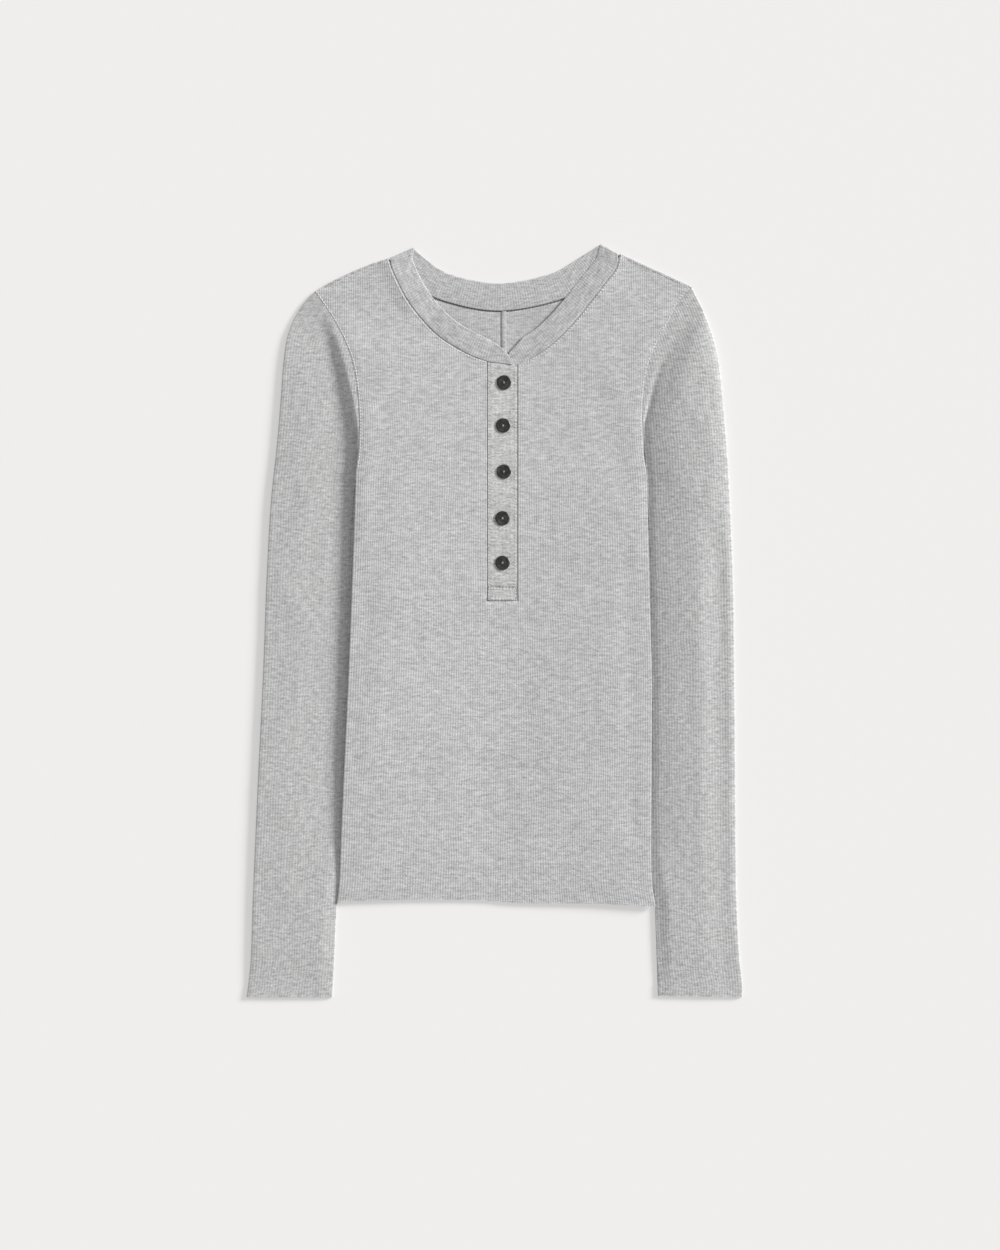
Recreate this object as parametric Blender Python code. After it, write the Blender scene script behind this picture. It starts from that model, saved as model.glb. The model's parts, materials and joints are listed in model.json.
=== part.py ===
"""Henley shirt, laid flat on its back: rib knit, long sleeves, neckband and buttoned placket.

Sizes are millimetres until a mesh is made, and metres in the scene. Seen from above, +X is
to the right, +Y runs from the hem to the neck, and the shirt lies on the plane Z = 0.
Left and right are the viewer's.
"""
import math

import bmesh
import bpy
from mathutils import Vector

MM = 0.001
TOUCH = 0.01            # points closer than this are one

# Cloth
WALL = 1.2              # one ply of rib knit
GAP = 0.3               # clearance where two pieces meet
PRESSED = 2 * WALL + GAP    # two plies pressed together, as at a side seam
RIB_RISE = 0.25         # height of a rib over the grooves beside it
BODY_PITCH = 2.05       # from rib to rib
SLEEVE_PITCH = 2.4
UNDERARM_Y = 136.0

# How the front rises from its pressed seams: heights, and distances over which they grow
LOFT = 1.1
LOFT_FROM_SIDE, LOFT_FROM_SHOULDER, LOFT_FROM_HEM = 22.0, 14.0, 40.0
LOFT_AT_HEM = 0.35      # share of the loft that is left at the hem
BULK = 1.3              # extra height where the armhole's allowances lie inside
BULK_START_Y, BULK_FULL_Y = 30.0, 90.0
BULK_FROM_SHOULDER = 40.0
BULK_RISE, BULK_CREST, BULK_FALL = 7.0, 9.0, 16.0

# Body edges from the hem up to the underarm
SIDE_SEAM = [
    # y, left x, right x
    (-252.6, -142.9, 143.3),
    (-232.0, -140.4, 140.2),
    (-190.0, -138.7, 139.4),
    (-120.0, -135.5, 139.8),
    (-50.0, -132.2, 140.2),
    (19.4, -129.4, 138.2),
    (76.0, -127.3, 136.8),
    (108.0, -126.2, 136.3),
]
# Armhole seam from the underarm to the shoulder point
ARMHOLE = [
    # left x, left y, right x, right y
    (-125.3, 136.0, 135.4, 134.0),
    (-123.2, 156.0, 132.6, 155.0),
    (-122.7, 181.0, 131.4, 184.0),
    (-124.3, 206.0, 133.3, 211.0),
    (-128.5, 232.0, 138.6, 236.0),
    (-136.5, 254.0, 146.5, 254.0),
    (-146.5, 273.0, 156.0, 271.5),
    (-155.0, 285.5, 164.0, 288.0),
    (-163.1, 297.0, 176.6, 301.5),
]
BASE_ROW = 3            # armhole row level with the foot of the yoke
YOKE_STEPS = 4          # rows of the mesh between that row and the shoulder
EDGE_COLUMNS = (0.0, 7.0, 17.5)     # columns of the mesh, in from the side edge
# Shoulder line from the shoulder point to the neck
SHOULDER = [
    # left x, left y, right x, right y
    (-163.1, 297.0, 176.6, 301.5),
    (-147.4, 306.8, 160.0, 309.2),
    (-118.6, 320.0, 140.6, 318.2),
    (-96.4, 327.6, 111.5, 331.4),
]
# Front neckline from the neck point down to the placket
FRONT_NECK = [
    # left x, left y, right x, right y
    (-96.4, 327.6, 111.5, 331.4),
    (-91.0, 311.9, 108.2, 318.0),
    (-79.9, 290.3, 98.0, 304.5),
    (-66.4, 272.3, 84.0, 286.5),
    (-51.1, 257.0, 67.5, 266.5),
    (-33.1, 245.3, 50.0, 249.5),
    (-19.0, 238.4, 34.0, 238.6),
    (-7.9, 234.6, 19.7, 231.6),
]
# Back neckline, left to right, met by the centre back seam at BACK_SEAM_ROW
BACK_NECK = [
    # x, y
    (-96.4, 327.6),
    (-77.2, 307.4),
    (-57.4, 293.9),
    (-38.0, 287.2),
    (-17.0, 282.4),
    (4.3, 280.6),
    (26.0, 283.0),
    (47.0, 287.6),
    (66.8, 294.4),
    (89.3, 308.8),
    (111.5, 331.4),
]
BACK_SEAM_ROW = 5
HEM = [
    # x, y
    (-142.9, -252.6),
    (-125.0, -250.4),
    (-60.0, -249.0),
    (-7.9, -250.0),
    (19.7, -252.2),
    (86.0, -252.6),
    (143.3, -255.4),
]

# Sleeves: how far the inner edge is tucked under the body
TUCK = [
    # y, tuck
    (-252.6, 1.0),
    (-192.0, 4.5),
    (-120.0, 10.0),
    (-50.0, 15.0),
    (20.0, 16.5),
    (56.0, 15.0),
    (80.0, 8.0),
    (104.0, -0.8),
    (118.0, -1.0),
    (136.0, -0.9),
]
CUFF_INNER = {"left": (-146.6, -337.0), "right": (145.8, -335.6)}
ARMHOLE_CLEARANCE = 0.45    # between a sleeve's end and the body
CROWN_OUTER, CROWN_INNER = 15.0, 13.0   # widths over which a sleeve rises from its edges
BODY_CLEARANCE = 3.0    # a sleeve starts to rise this far outside the body's edge
CROWN_FREE_Y, CROWN_EASE = 143.0, 22.0  # level above which the body doesn't hold it down
FOLD_NOSE = 1.3         # depth of the rounded fold along a sleeve's edges
NOSE_INSET = 1.15       # inset of the hollow's nose, in walls
SHELF = 3.3             # height of the body's underside where a sleeve lies beneath
SHELF_MARGIN = 2.0      # how far the raised part reaches past the sleeve's inner edge
SHELF_SLOPE = 15.0      # width over which the body comes down beside it
SHELF_FULL_Y = 20.0     # above here it is as wide as at this level
SLEEVE_RINGS = [
    # outer y, left outer x, right outer x, inner y, bend, height
    (292.0, -168.5, 181.2, 131.5, 0.95, 4.3),
    (281.0, -177.0, 186.6, 126.0, 0.84, 3.3),
    (260.0, -186.8, 194.8, 117.5, 0.66, 4.4),
    (233.0, -191.2, 201.2, 104.0, 0.46, 5.4),
    (200.0, -193.6, 204.6, 84.0, 0.28, 6.0),
    (158.0, -197.2, 208.3, 62.0, 0.13, 6.2),
    (106.0, -202.6, 211.2, 34.0, 0.04, 6.2),
    (36.0, -206.4, 214.0, -10.0, 0.0, 6.2),
    (-45.0, -209.4, 215.1, -62.0, 0.0, 6.1),
    (-120.0, -213.0, 215.8, -125.0, 0.0, 6.0),
    (-190.0, -216.2, 216.2, -192.0, 0.0, 5.8),
    (-250.0, -218.7, 217.1, -251.0, 0.0, 5.2),
    (-300.0, -220.3, 219.5, -300.0, 0.0, 4.4),
    (-325.0, -222.6, 222.2, -325.0, 0.0, 3.7),
    (-337.0, -224.2, 221.9, -336.4, 0.0, 3.3),
]

# Neckband
BAND_WALL = 2.0
BAND_FRONT = 20.0       # width on the front
BAND_BACK = 24.2        # width across the back
BAND_LOW = BAND_WALL / 2 + 0.05     # middle of the band where it lies on the floor
BAND_HIGH = 3.65        # middle of the front band over the back band
BAND_END_TOP = 4.95     # middle of the left end, lapped over the right one
BAND_END_UNDER = 2.6
FOLD_IN = 2.3           # fold axis, in from the outline
FOLD_SHIFT = 1.5        # its seam end, in from the neck point
FOLD_STEPS = 6
NECK_PEAK = {"left": (-75.4, 336.2), "right": (97.4, 338.0)}
LAP_FREE = (6.8, 247.6)     # rounded upper corner of the lapped end
LAP_X = {"left": 19.2, "right": -7.4}       # where each end stops
# Shares of each front half, from the neck point, between which it climbs to its end's height
LAP_CLIMB = {"left": (0.55, 0.75), "right": (0.6, 0.85)}

# Placket
PLACKET_LEFT, PLACKET_RIGHT = -7.6, 19.4
PLACKET_FOOT, PLACKET_TOP = 19.7, 231.0
UNDER_LOW, UNDER_TOP = 1.5, 3.0
UPPER_LOW, UPPER_TOP = 3.3, 4.9

# Buttons
BUTTON_SIDES = 18
BUTTONS = [
    # x, y
    (7.4, 215.6),
    (6.6, 176.9),
    (7.3, 135.5),
    (6.1, 93.6),
    (6.1, 53.6),
]
BUTTON_PROFILE = [
    # radius, z above the seat
    (0.0, 0.0),
    (5.6, 0.0),
    (6.3, 0.5),
    (6.5, 1.2),
    (6.3, 2.1),
    (5.7, 2.5),
    (4.9, 2.4),
    (4.1, 1.8),
    (0.0, 1.7),
]

MATERIALS = {
    # name: colour, roughness
    "rib_knit": ((0.50, 0.50, 0.495), 0.95),
    "rib_band": ((0.52, 0.52, 0.515), 0.95),
    "horn": ((0.035, 0.035, 0.033), 0.35),
}


# ---------------------------------------------------------------- curves and distances

def smoothstep(value):
    """0 below 0, 1 above 1, and a soft rise between."""
    t = min(max(value, 0.0), 1.0)
    return t * t * (3 - 2 * t)


def lerp(a, b, t):
    return a + (b - a) * t


def spline(points, steps):
    """Catmull-Rom curve through the points, with a number of chords to each span."""
    ends = [points[0] * 2 - points[1]] + list(points) + [points[-1] * 2 - points[-2]]
    curve = [points[0].copy()]
    for a, b, c, d in zip(ends, ends[1:], ends[2:], ends[3:]):
        for step in range(1, steps + 1):
            t = step / steps
            curve.append(0.5 * (2 * b + (c - a) * t + (2 * a - 5 * b + 4 * c - d) * t ** 2
                                + (3 * b - 3 * c + d - a) * t ** 3))
    return curve


def read(rows, x, key=0, value=1):
    """Value of a table at x, on straight lines between its rows."""
    rows = sorted(rows, key=lambda row: row[key])
    for low, high in zip(rows, rows[1:]):
        if x <= high[key]:
            t = (x - low[key]) / (high[key] - low[key])
            return lerp(low[value], high[value], max(t, 0.0))
    return rows[-1][value]


def distance(line, point):
    """Shortest distance from a point to a line of chords."""
    best = math.inf
    for a, b in zip(line, line[1:]):
        chord = b - a
        t = min(max((point - a).dot(chord) / chord.length_squared, 0.0), 1.0)
        best = min(best, (a + chord * t - point).length)
    return best


def normal(line, index, turn):
    """Unit normal of a line at one of its points, to the left of its run where turn is 1."""
    before = line[max(index - 1, 0)]
    after = line[min(index + 1, len(line) - 1)]
    run = (after - before).normalized()
    return Vector((-run.y, run.x)) * turn


# ---------------------------------------------------------------- one side of the shirt

class Side:
    """Seam lines of one side, each a list of points in the plane."""

    def __init__(self, name):
        self.name = name
        self.sign = -1 if name == "left" else 1
        first = 0 if name == "left" else 2
        column = 1 if name == "left" else 2

        def pair(rows):
            return [Vector(row[first:first + 2]) for row in rows]

        self.seam = [Vector((row[column], row[0])) for row in SIDE_SEAM]
        low = pair(ARMHOLE[:BASE_ROW + 1])
        high = spline(pair(ARMHOLE), 2)[2 * BASE_ROW:]
        self.armhole = low + high[1:]
        self.base = self.armhole[BASE_ROW]
        self.edge = self.seam + self.armhole
        self.shoulder = spline(pair(SHOULDER), 3)
        self.front_neck = spline(pair(FRONT_NECK), 2)
        back = spline([Vector(row) for row in BACK_NECK], 2)
        middle = 2 * BACK_SEAM_ROW
        self.back_neck = back[:middle + 1] if name == "left" else back[:middle - 1:-1]
        self.peak = Vector(NECK_PEAK[name])

    def edge_x(self, y):
        return read([(p.y, p.x) for p in self.edge], y)

    def shoulder_y(self, x):
        return read([(p.x, p.y) for p in self.shoulder], x)

    def inner_edge(self, y):
        """Inner edge of the sleeve: tucked under the body, and straight below the hem."""
        hem_y, cuff = self.seam[0].y, Vector(CUFF_INNER[self.name])
        inside = self.edge_x(max(y, hem_y)) - self.sign * read(TUCK, max(y, hem_y))
        if y < hem_y:
            inside = lerp(inside, cuff.x, (hem_y - y) / (hem_y - cuff.y))
        return Vector((inside, y))

    def lift(self, point):
        """Height of the body's underside: raised beside the edge, over the tucked sleeve."""
        if point.y > UNDERARM_Y:
            return 0.0
        depth = abs(self.edge_x(point.y) - point.x)
        shelf = read(TUCK, min(point.y, SHELF_FULL_Y)) + SHELF_MARGIN
        above = smoothstep((UNDERARM_Y - point.y) / (UNDERARM_Y - SIDE_SEAM[-1][0]))
        return SHELF * above * (1 - smoothstep((depth - shelf) / SHELF_SLOPE))


SIDES = {name: Side(name) for name in ("left", "right")}


def body_lift(point):
    return max(side.lift(point) for side in SIDES.values() if point.x * side.sign > 0)


def front_height(point):
    """Top of the front: pressed at its seams, lofty inside, raised along the armholes."""
    side = SIDES["left" if point.x < 0 else "right"]
    from_edge = distance(side.edge, point)
    from_shoulder = distance(side.shoulder, point)
    from_hem = point.y - read(HEM, point.x)
    loft = LOFT * smoothstep(from_edge / LOFT_FROM_SIDE)
    loft *= smoothstep(from_shoulder / LOFT_FROM_SHOULDER)
    loft *= lerp(LOFT_AT_HEM, 1.0, smoothstep(from_hem / LOFT_FROM_HEM))
    bulk = BULK * smoothstep((point.y - BULK_START_Y) / (BULK_FULL_Y - BULK_START_Y))
    bulk *= smoothstep(from_shoulder / BULK_FROM_SHOULDER)
    bulk *= smoothstep(from_edge / BULK_RISE)
    bulk *= 1 - smoothstep((from_edge - BULK_CREST) / BULK_FALL)
    return body_lift(point) + PRESSED + loft + bulk


# ---------------------------------------------------------------- meshes

def new_object(name, mesh_maker, material, location=(0, 0, 0)):
    """Object whose mesh is filled by mesh_maker in millimetres and kept in metres."""
    mesh = bpy.data.meshes.new(name)
    bm = bmesh.new()
    mesh_maker(bm)
    bmesh.ops.remove_doubles(bm, verts=bm.verts, dist=TOUCH)
    bmesh.ops.dissolve_degenerate(bm, edges=bm.edges, dist=TOUCH)
    bmesh.ops.recalc_face_normals(bm, faces=bm.faces)
    bmesh.ops.scale(bm, vec=(MM, MM, MM), verts=bm.verts)
    bm.to_mesh(mesh)
    bm.free()
    mesh.shade_smooth()
    mesh.set_sharp_from_angle(angle=math.radians(40))
    piece = bpy.data.objects.new(name, mesh)
    piece.location = Vector(location) * MM
    colour, roughness = MATERIALS[material]
    finish = bpy.data.materials.new(name)
    finish.use_nodes = True
    shader = finish.node_tree.nodes["Principled BSDF"]
    shader.inputs["Base Color"].default_value = (*colour, 1)
    shader.inputs["Roughness"].default_value = roughness
    shader.inputs["Metallic"].default_value = 0.0
    mesh.materials.append(finish)
    bpy.context.scene.collection.objects.link(piece)
    return piece


def skin(bm, rows, closed=False):
    """Quads between neighbouring rows of points, round each row where it is closed."""
    verts = [[bm.verts.new(point) for point in row] for row in rows]
    for near, far in zip(verts, verts[1:]):
        count = len(near)
        for i in range(count if closed else count - 1):
            j = (i + 1) % count
            bm.faces.new((near[i], near[j], far[j], far[i]))
    return verts


def drop(bm, depth):
    """Turn a sheet into a wall by carrying a copy of it straight down."""
    bmesh.ops.remove_doubles(bm, verts=bm.verts, dist=TOUCH)
    bmesh.ops.dissolve_degenerate(bm, edges=bm.edges, dist=TOUCH)
    grown = bmesh.ops.extrude_face_region(bm, geom=bm.faces[:])
    low = [item for item in grown["geom"] if isinstance(item, bmesh.types.BMVert)]
    bmesh.ops.translate(bm, vec=(0, 0, -depth), verts=low)


def rib_counts(row, pitch):
    """Strips, two to a rib, for each span of a row."""
    return [2 * max(round(abs(q.x - p.x) / pitch), 1) for p, q in zip(row, row[1:])]


def ribbed(row, counts):
    """A row with ribs between its points, which themselves lie in grooves."""
    points = [row[0]]
    for start, end, count in zip(row, row[1:], counts):
        for step in range(1, count + 1):
            rise = Vector((0, 0, RIB_RISE * (step % 2)))
            points.append(lerp(start, end, step / count) + rise)
    return points


def close_rim(bm, low_edges, top_verts):
    """Wall from each edge of a plain underside to the ribbed edge above it."""
    for edge in low_edges:
        a, b = edge.verts
        run = (b.co - a.co).xy
        chain = []
        for vert in top_verts:
            along = (vert.co - a.co).xy.dot(run) / run.length_squared
            aside = ((vert.co - a.co).xy - run * along).length
            if aside < TOUCH and -TOUCH < along < 1 + TOUCH:
                chain.append((along, vert))
        chain.sort(key=lambda item: item[0], reverse=True)
        bm.faces.new([a, b] + [vert for along, vert in chain])


def half_rows(side, neck, height):
    """Rows of a half panel from the hem to the shoulder and neckline, side edge first."""
    inner_x = neck[-1].x
    reach = [side.base.x - side.sign * depth for depth in EDGE_COLUMNS]
    tops = [(x, side.shoulder_y(x)) for x in reach] + [(p.x, p.y) for p in neck]
    fractions = [(x - side.base.x) / (inner_x - side.base.x) for x, top in tops]
    rows = []
    for index, edge in enumerate(side.edge[:len(side.seam) + BASE_ROW]):
        xs = [lerp(edge.x, inner_x, f) for f in fractions]
        rows.append([Vector((x, read(HEM, x) if index == 0 else edge.y)) for x in xs])
    body = len(rows)
    yoke = side.armhole[:BASE_ROW:-1]
    columns = [(p.x, p.y, side.shoulder_y(p.x)) for p in yoke]
    columns[0] = (yoke[0].x, yoke[0].y, yoke[0].y)
    columns += [(x, side.base.y, top) for x, top in tops]
    for step in range(YOKE_STEPS + 1):
        t = step / YOKE_STEPS
        rows.append([Vector((x, lerp(low, high, t))) for x, low, high in columns])
    lifted = [[Vector((p.x, p.y, height(p))) for p in row] for row in rows]
    return lifted[:body] + [lifted[body][len(yoke):]], lifted[body:]


def front(bm):
    """Both halves of the front, joined below the placket, ribbed over a plain inside."""
    inner = []
    sheets = []
    for side in SIDES.values():
        body, yoke = half_rows(side, side.front_neck, front_height)
        sheets += [(body, rib_counts(body[-1], BODY_PITCH)),
                   (yoke, rib_counts(yoke[-1], BODY_PITCH))]
        inner.append([row[-1] for row in body if row[-1].y < PLACKET_FOOT])
    middles = [[a, (a + b) / 2, b] for a, b in zip(*inner)]
    sheets.append((middles, rib_counts(middles[-1], BODY_PITCH)))
    for rows, counts in sheets:
        skin(bm, [ribbed(row, counts) for row in rows])
    bmesh.ops.remove_doubles(bm, verts=bm.verts, dist=TOUCH)
    top_verts = [vert for vert in bm.verts if vert.is_boundary]
    low = []
    for rows, counts in sheets:
        for row in skin(bm, [[p - Vector((0, 0, WALL)) for p in row] for row in rows]):
            low += row
    bmesh.ops.remove_doubles(bm, verts=low, dist=TOUCH)
    low_edges = [edge for edge in bm.edges if edge.is_boundary and edge.verts[0] not in top_verts]
    close_rim(bm, low_edges, top_verts)


def back(name):
    """Maker of one half of the back."""
    side = SIDES[name]
    seam_x = BACK_NECK[BACK_SEAM_ROW][0] + side.sign * GAP / 2

    def make(bm):
        neck = side.back_neck[:-1] + [Vector((seam_x, side.back_neck[-1].y))]
        for rows in half_rows(side, neck, lambda p: body_lift(p) + WALL):
            skin(bm, rows)
        drop(bm, WALL)
    return make


def sleeve(name):
    """Maker of one sleeve: a flattened tube of cloth from the armhole to the cuff."""
    side = SIDES[name]
    start = side.armhole[::-1]
    count = len(start) - 1
    first = [p + normal(start, i, side.sign) * ARMHOLE_CLEARANCE for i, p in enumerate(start)]
    bows = [p - lerp(start[0], start[-1], i / count) for i, p in enumerate(start)]

    def paths():
        yield first, PRESSED
        for outer_y, left_x, right_x, inner_y, bend, height in SLEEVE_RINGS:
            outer = Vector((left_x if name == "left" else right_x, outer_y))
            inner = side.inner_edge(inner_y)
            yield [lerp(outer, inner, i / count) + bow * bend
                   for i, bow in enumerate(bows)], height

    def crown(point, path, height):
        """Height of the cloth at a point of a ring."""
        across = (point - path[0]).length
        inside = (point - path[-1]).length
        rise = smoothstep(across / CROWN_OUTER) * smoothstep(inside / CROWN_INNER)
        if point.y > side.seam[0].y:
            below = smoothstep((CROWN_FREE_Y - point.y) / CROWN_EASE)
            beside = (point.x - side.edge_x(point.y)) * side.sign - BODY_CLEARANCE
            rise *= lerp(1.0, smoothstep(beside / CROWN_INNER), below)
        return lerp(PRESSED, height, rise)

    def ring(path, height, depth):
        """Cross-section of the tube, or of its hollow where depth is the wall."""
        run_in = (path[1] - path[0]).normalized()
        run_out = (path[-2] - path[-1]).normalized()
        tip = PRESSED / 2
        nose = depth * NOSE_INSET
        shoulder = nose + FOLD_NOSE
        ends = [path[0] + run_in * shoulder, path[-1] + run_out * shoulder]
        line = [ends[0]] + path[1:-1] + [ends[1]]
        upper = [Vector((*p, crown(p, path, height) - depth)) for p in line]
        if not depth:
            upper = ribbed(upper, strips)
        lower = [Vector((*p, depth)) for p in reversed(line)]
        outer = Vector((*(path[0] + run_in * nose), tip))
        inner = Vector((*(path[-1] + run_out * nose), tip))
        return [outer] + upper + [inner] + lower

    tube = list(paths())
    strips = rib_counts(tube[-1][0], SLEEVE_PITCH)

    def make(bm):
        outside = skin(bm, [ring(path, height, 0.0) for path, height in tube], closed=True)
        hollow = skin(bm, [ring(path, height, WALL) for path, height in tube], closed=True)
        stops = [0] + [1 + sum(strips[:i]) for i in range(len(strips) + 1)]
        stops += range(stops[-1] + 1, len(outside[0]))
        for end in (0, -1):
            edge, inner = outside[end], hollow[end]
            for i, stop in enumerate(stops):
                j = (i + 1) % len(stops)
                reach = edge[stop:stops[j] + 1] if j else [edge[stop], edge[0]]
                bm.faces.new(reach + [inner[j], inner[i]])
    return make


def band_half(side):
    """Stations of one side of the neckband: seam point, free point and middle height."""
    top = side.name == "left"
    end_height = BAND_END_TOP if top else BAND_END_UNDER
    climb, level = LAP_CLIMB[side.name]
    front_line = [p + normal(side.front_neck, i, -side.sign) * GAP
                  for i, p in enumerate(side.front_neck)][1:]
    end_x = LAP_X[side.name]
    front_line.append(Vector((lerp(front_line[-1].x, end_x, 0.5), PLACKET_TOP + GAP)))
    front_line.append(Vector((end_x, PLACKET_TOP + GAP)))
    stations = []
    for i, point in enumerate(front_line):
        along = i / (len(front_line) - 1)
        free = point + normal(front_line, i, -side.sign) * BAND_FRONT
        height = lerp(BAND_HIGH, end_height, smoothstep((along - climb) / (level - climb)))
        stations.append((point, free, height))
    if top:
        stations[-1] = (stations[-1][0], Vector(LAP_FREE), end_height)
    start = side.front_neck[0]
    axis = (side.peak - start).normalized()
    out = Vector((-axis.y, axis.x)) if top else Vector((axis.y, -axis.x))
    seam = start + axis * FOLD_SHIFT - out * FOLD_IN
    free = side.peak - out * FOLD_IN
    radius = (BAND_HIGH - BAND_LOW) / 2
    fold = []
    for step in range(FOLD_STEPS + 1):
        angle = math.pi * step / FOLD_STEPS
        shift = out * radius * math.sin(angle)
        height = BAND_HIGH - radius * (1 - math.cos(angle))
        fold.append((seam + shift, free + shift, height))
    back_line = [p + normal(side.back_neck, i, -side.sign) * GAP
                 for i, p in enumerate(side.back_neck)][2:]
    back_stations = []
    for i, point in enumerate(back_line):
        free = point + normal(back_line, i, -side.sign) * BAND_BACK
        back_stations.append((point, free, BAND_LOW))
    if not top:
        back_stations.pop()
    return stations[::-1] + fold + back_stations


def neckband(bm):
    """One strip from the lapped left end, round the back of the neck, to the right end."""
    strip = band_half(SIDES["left"]) + band_half(SIDES["right"])[::-1]
    rows = []
    for seam, free, height in strip:
        middle = (seam + free) / 2
        rows.append([Vector((*seam, height)), Vector((*middle, height)), Vector((*free, height))])
    skin(bm, rows)


def placket(low, top):
    """Maker of a flat folded strip in the placket."""
    def make(bm):
        near = Vector((PLACKET_LEFT, PLACKET_FOOT, low))
        far = Vector((PLACKET_RIGHT, PLACKET_TOP, top))
        cube = bmesh.ops.create_cube(bm, size=1.0)
        bmesh.ops.scale(bm, vec=far - near, verts=cube["verts"])
        bmesh.ops.translate(bm, vec=(near + far) / 2, verts=cube["verts"])
    return make


def button(bm):
    """Turned button with a raised rim and a dished face."""
    verts = [bm.verts.new((radius, 0, z)) for radius, z in BUTTON_PROFILE]
    edges = [bm.edges.new(pair) for pair in zip(verts, verts[1:])]
    bmesh.ops.spin(bm, geom=verts + edges, cent=(0, 0, 0), axis=(0, 0, 1),
                   angle=math.tau, steps=BUTTON_SIDES, use_merge=True)


def centre(pieces):
    """Shift all pieces so that the origin is the middle of the footprint."""
    bpy.context.view_layer.update()
    depsgraph = bpy.context.evaluated_depsgraph_get()
    points = []
    for piece in pieces:
        shape = piece.evaluated_get(depsgraph)
        points += [shape.matrix_world @ Vector(corner) for corner in shape.bound_box]
    for axis in range(2):
        low = min(point[axis] for point in points)
        high = max(point[axis] for point in points)
        for piece in pieces:
            piece.location[axis] -= (low + high) / 2


def main():
    for old in list(bpy.data.objects):
        bpy.data.objects.remove(old, do_unlink=True)
    pieces = [new_object("front", front, "rib_knit")]
    for name in SIDES:
        pieces.append(new_object("back_" + name, back(name), "rib_knit"))
        pieces.append(new_object("sleeve_" + name, sleeve(name), "rib_knit"))
    band = new_object("neckband", neckband, "rib_band")
    fold = band.modifiers.new("band_wall", "SOLIDIFY")
    fold.thickness = BAND_WALL * MM
    fold.offset = 0
    fold.use_even_offset = True
    pieces.append(band)
    pieces.append(new_object("placket_upper", placket(UPPER_LOW, UPPER_TOP), "rib_knit"))
    pieces.append(new_object("placket_under", placket(UNDER_LOW, UNDER_TOP), "rib_knit"))
    for number, (x, y) in enumerate(BUTTONS, 1):
        seat = (x, y, UPPER_TOP + GAP)
        pieces.append(new_object(f"button_{number}", button, "horn", seat))
    centre(pieces)


main()
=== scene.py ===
# %% [markdown]
# # A ribbed henley shirt, laid flat
# The shirt is a fine rib knit in heather grey, with long sleeves, a neckband and a placket of
# five buttons. A rib knit is made of narrow ridges, which catch the light while the grooves
# between them stay dark. They could be a bump map, but then they vanish at the silhouette, so
# each panel is a real wall whose top follows its ribs. This first cell loads the finished
# solids and keeps their box.

# %% Load the frame
import json
import math

import bmesh
import bpy
import numpy as np
from mathutils import Matrix, Vector

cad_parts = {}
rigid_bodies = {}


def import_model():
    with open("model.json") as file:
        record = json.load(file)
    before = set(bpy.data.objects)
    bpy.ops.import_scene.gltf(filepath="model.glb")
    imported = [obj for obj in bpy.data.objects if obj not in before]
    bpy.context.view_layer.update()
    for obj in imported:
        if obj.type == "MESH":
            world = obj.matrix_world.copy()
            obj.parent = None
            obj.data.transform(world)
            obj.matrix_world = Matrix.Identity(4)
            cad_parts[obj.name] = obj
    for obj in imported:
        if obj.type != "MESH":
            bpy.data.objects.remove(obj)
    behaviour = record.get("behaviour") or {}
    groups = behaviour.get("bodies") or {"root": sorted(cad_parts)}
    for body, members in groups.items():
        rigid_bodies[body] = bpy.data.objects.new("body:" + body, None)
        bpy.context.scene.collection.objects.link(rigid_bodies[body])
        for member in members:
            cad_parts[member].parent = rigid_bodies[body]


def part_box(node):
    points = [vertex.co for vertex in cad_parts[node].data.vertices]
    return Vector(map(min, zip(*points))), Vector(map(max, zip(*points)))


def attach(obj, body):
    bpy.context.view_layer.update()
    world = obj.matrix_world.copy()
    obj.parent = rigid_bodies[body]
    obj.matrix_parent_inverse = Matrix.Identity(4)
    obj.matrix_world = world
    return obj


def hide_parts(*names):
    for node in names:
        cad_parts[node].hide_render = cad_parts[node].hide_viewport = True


for old in list(bpy.data.objects):
    bpy.data.objects.remove(old, do_unlink=True)
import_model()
scene = bpy.context.scene
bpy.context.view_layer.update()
MM = 0.001

# %% [markdown]
# ## The pattern pieces
# A shirt is cut from a paper pattern, so the panels start from their seam lines: the side seam,
# the armhole, the shoulder and the neckline. They could be read back from the solids, but a
# maker's own numbers give smoother edges. All of them are in millimetres, left and right as
# seen from above, and a shift brings them to the frame's origin.

# %% Seam lines
SIDE_SEAM = [
    # y, left x, right x
    (-252.6, -142.9, 143.3), (-232.0, -140.4, 140.2), (-190.0, -138.7, 139.4),
    (-120.0, -135.5, 139.8), (-50.0, -132.2, 140.2), (19.4, -129.4, 138.2),
    (76.0, -127.3, 136.8), (108.0, -126.2, 136.3),
]
ARMHOLE = [
    # left x, left y, right x, right y
    (-125.3, 136.0, 135.4, 134.0), (-123.2, 156.0, 132.6, 155.0), (-122.7, 181.0, 131.4, 184.0),
    (-124.3, 206.0, 133.3, 211.0), (-128.5, 232.0, 138.6, 236.0), (-136.5, 254.0, 146.5, 254.0),
    (-146.5, 273.0, 156.0, 271.5), (-155.0, 285.5, 164.0, 288.0), (-163.1, 297.0, 176.6, 301.5),
]
SHOULDER = [
    # left x, left y, right x, right y
    (-163.1, 297.0, 176.6, 301.5), (-147.4, 306.8, 160.0, 309.2),
    (-118.6, 320.0, 140.6, 318.2), (-96.4, 327.6, 111.5, 331.4),
]
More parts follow.
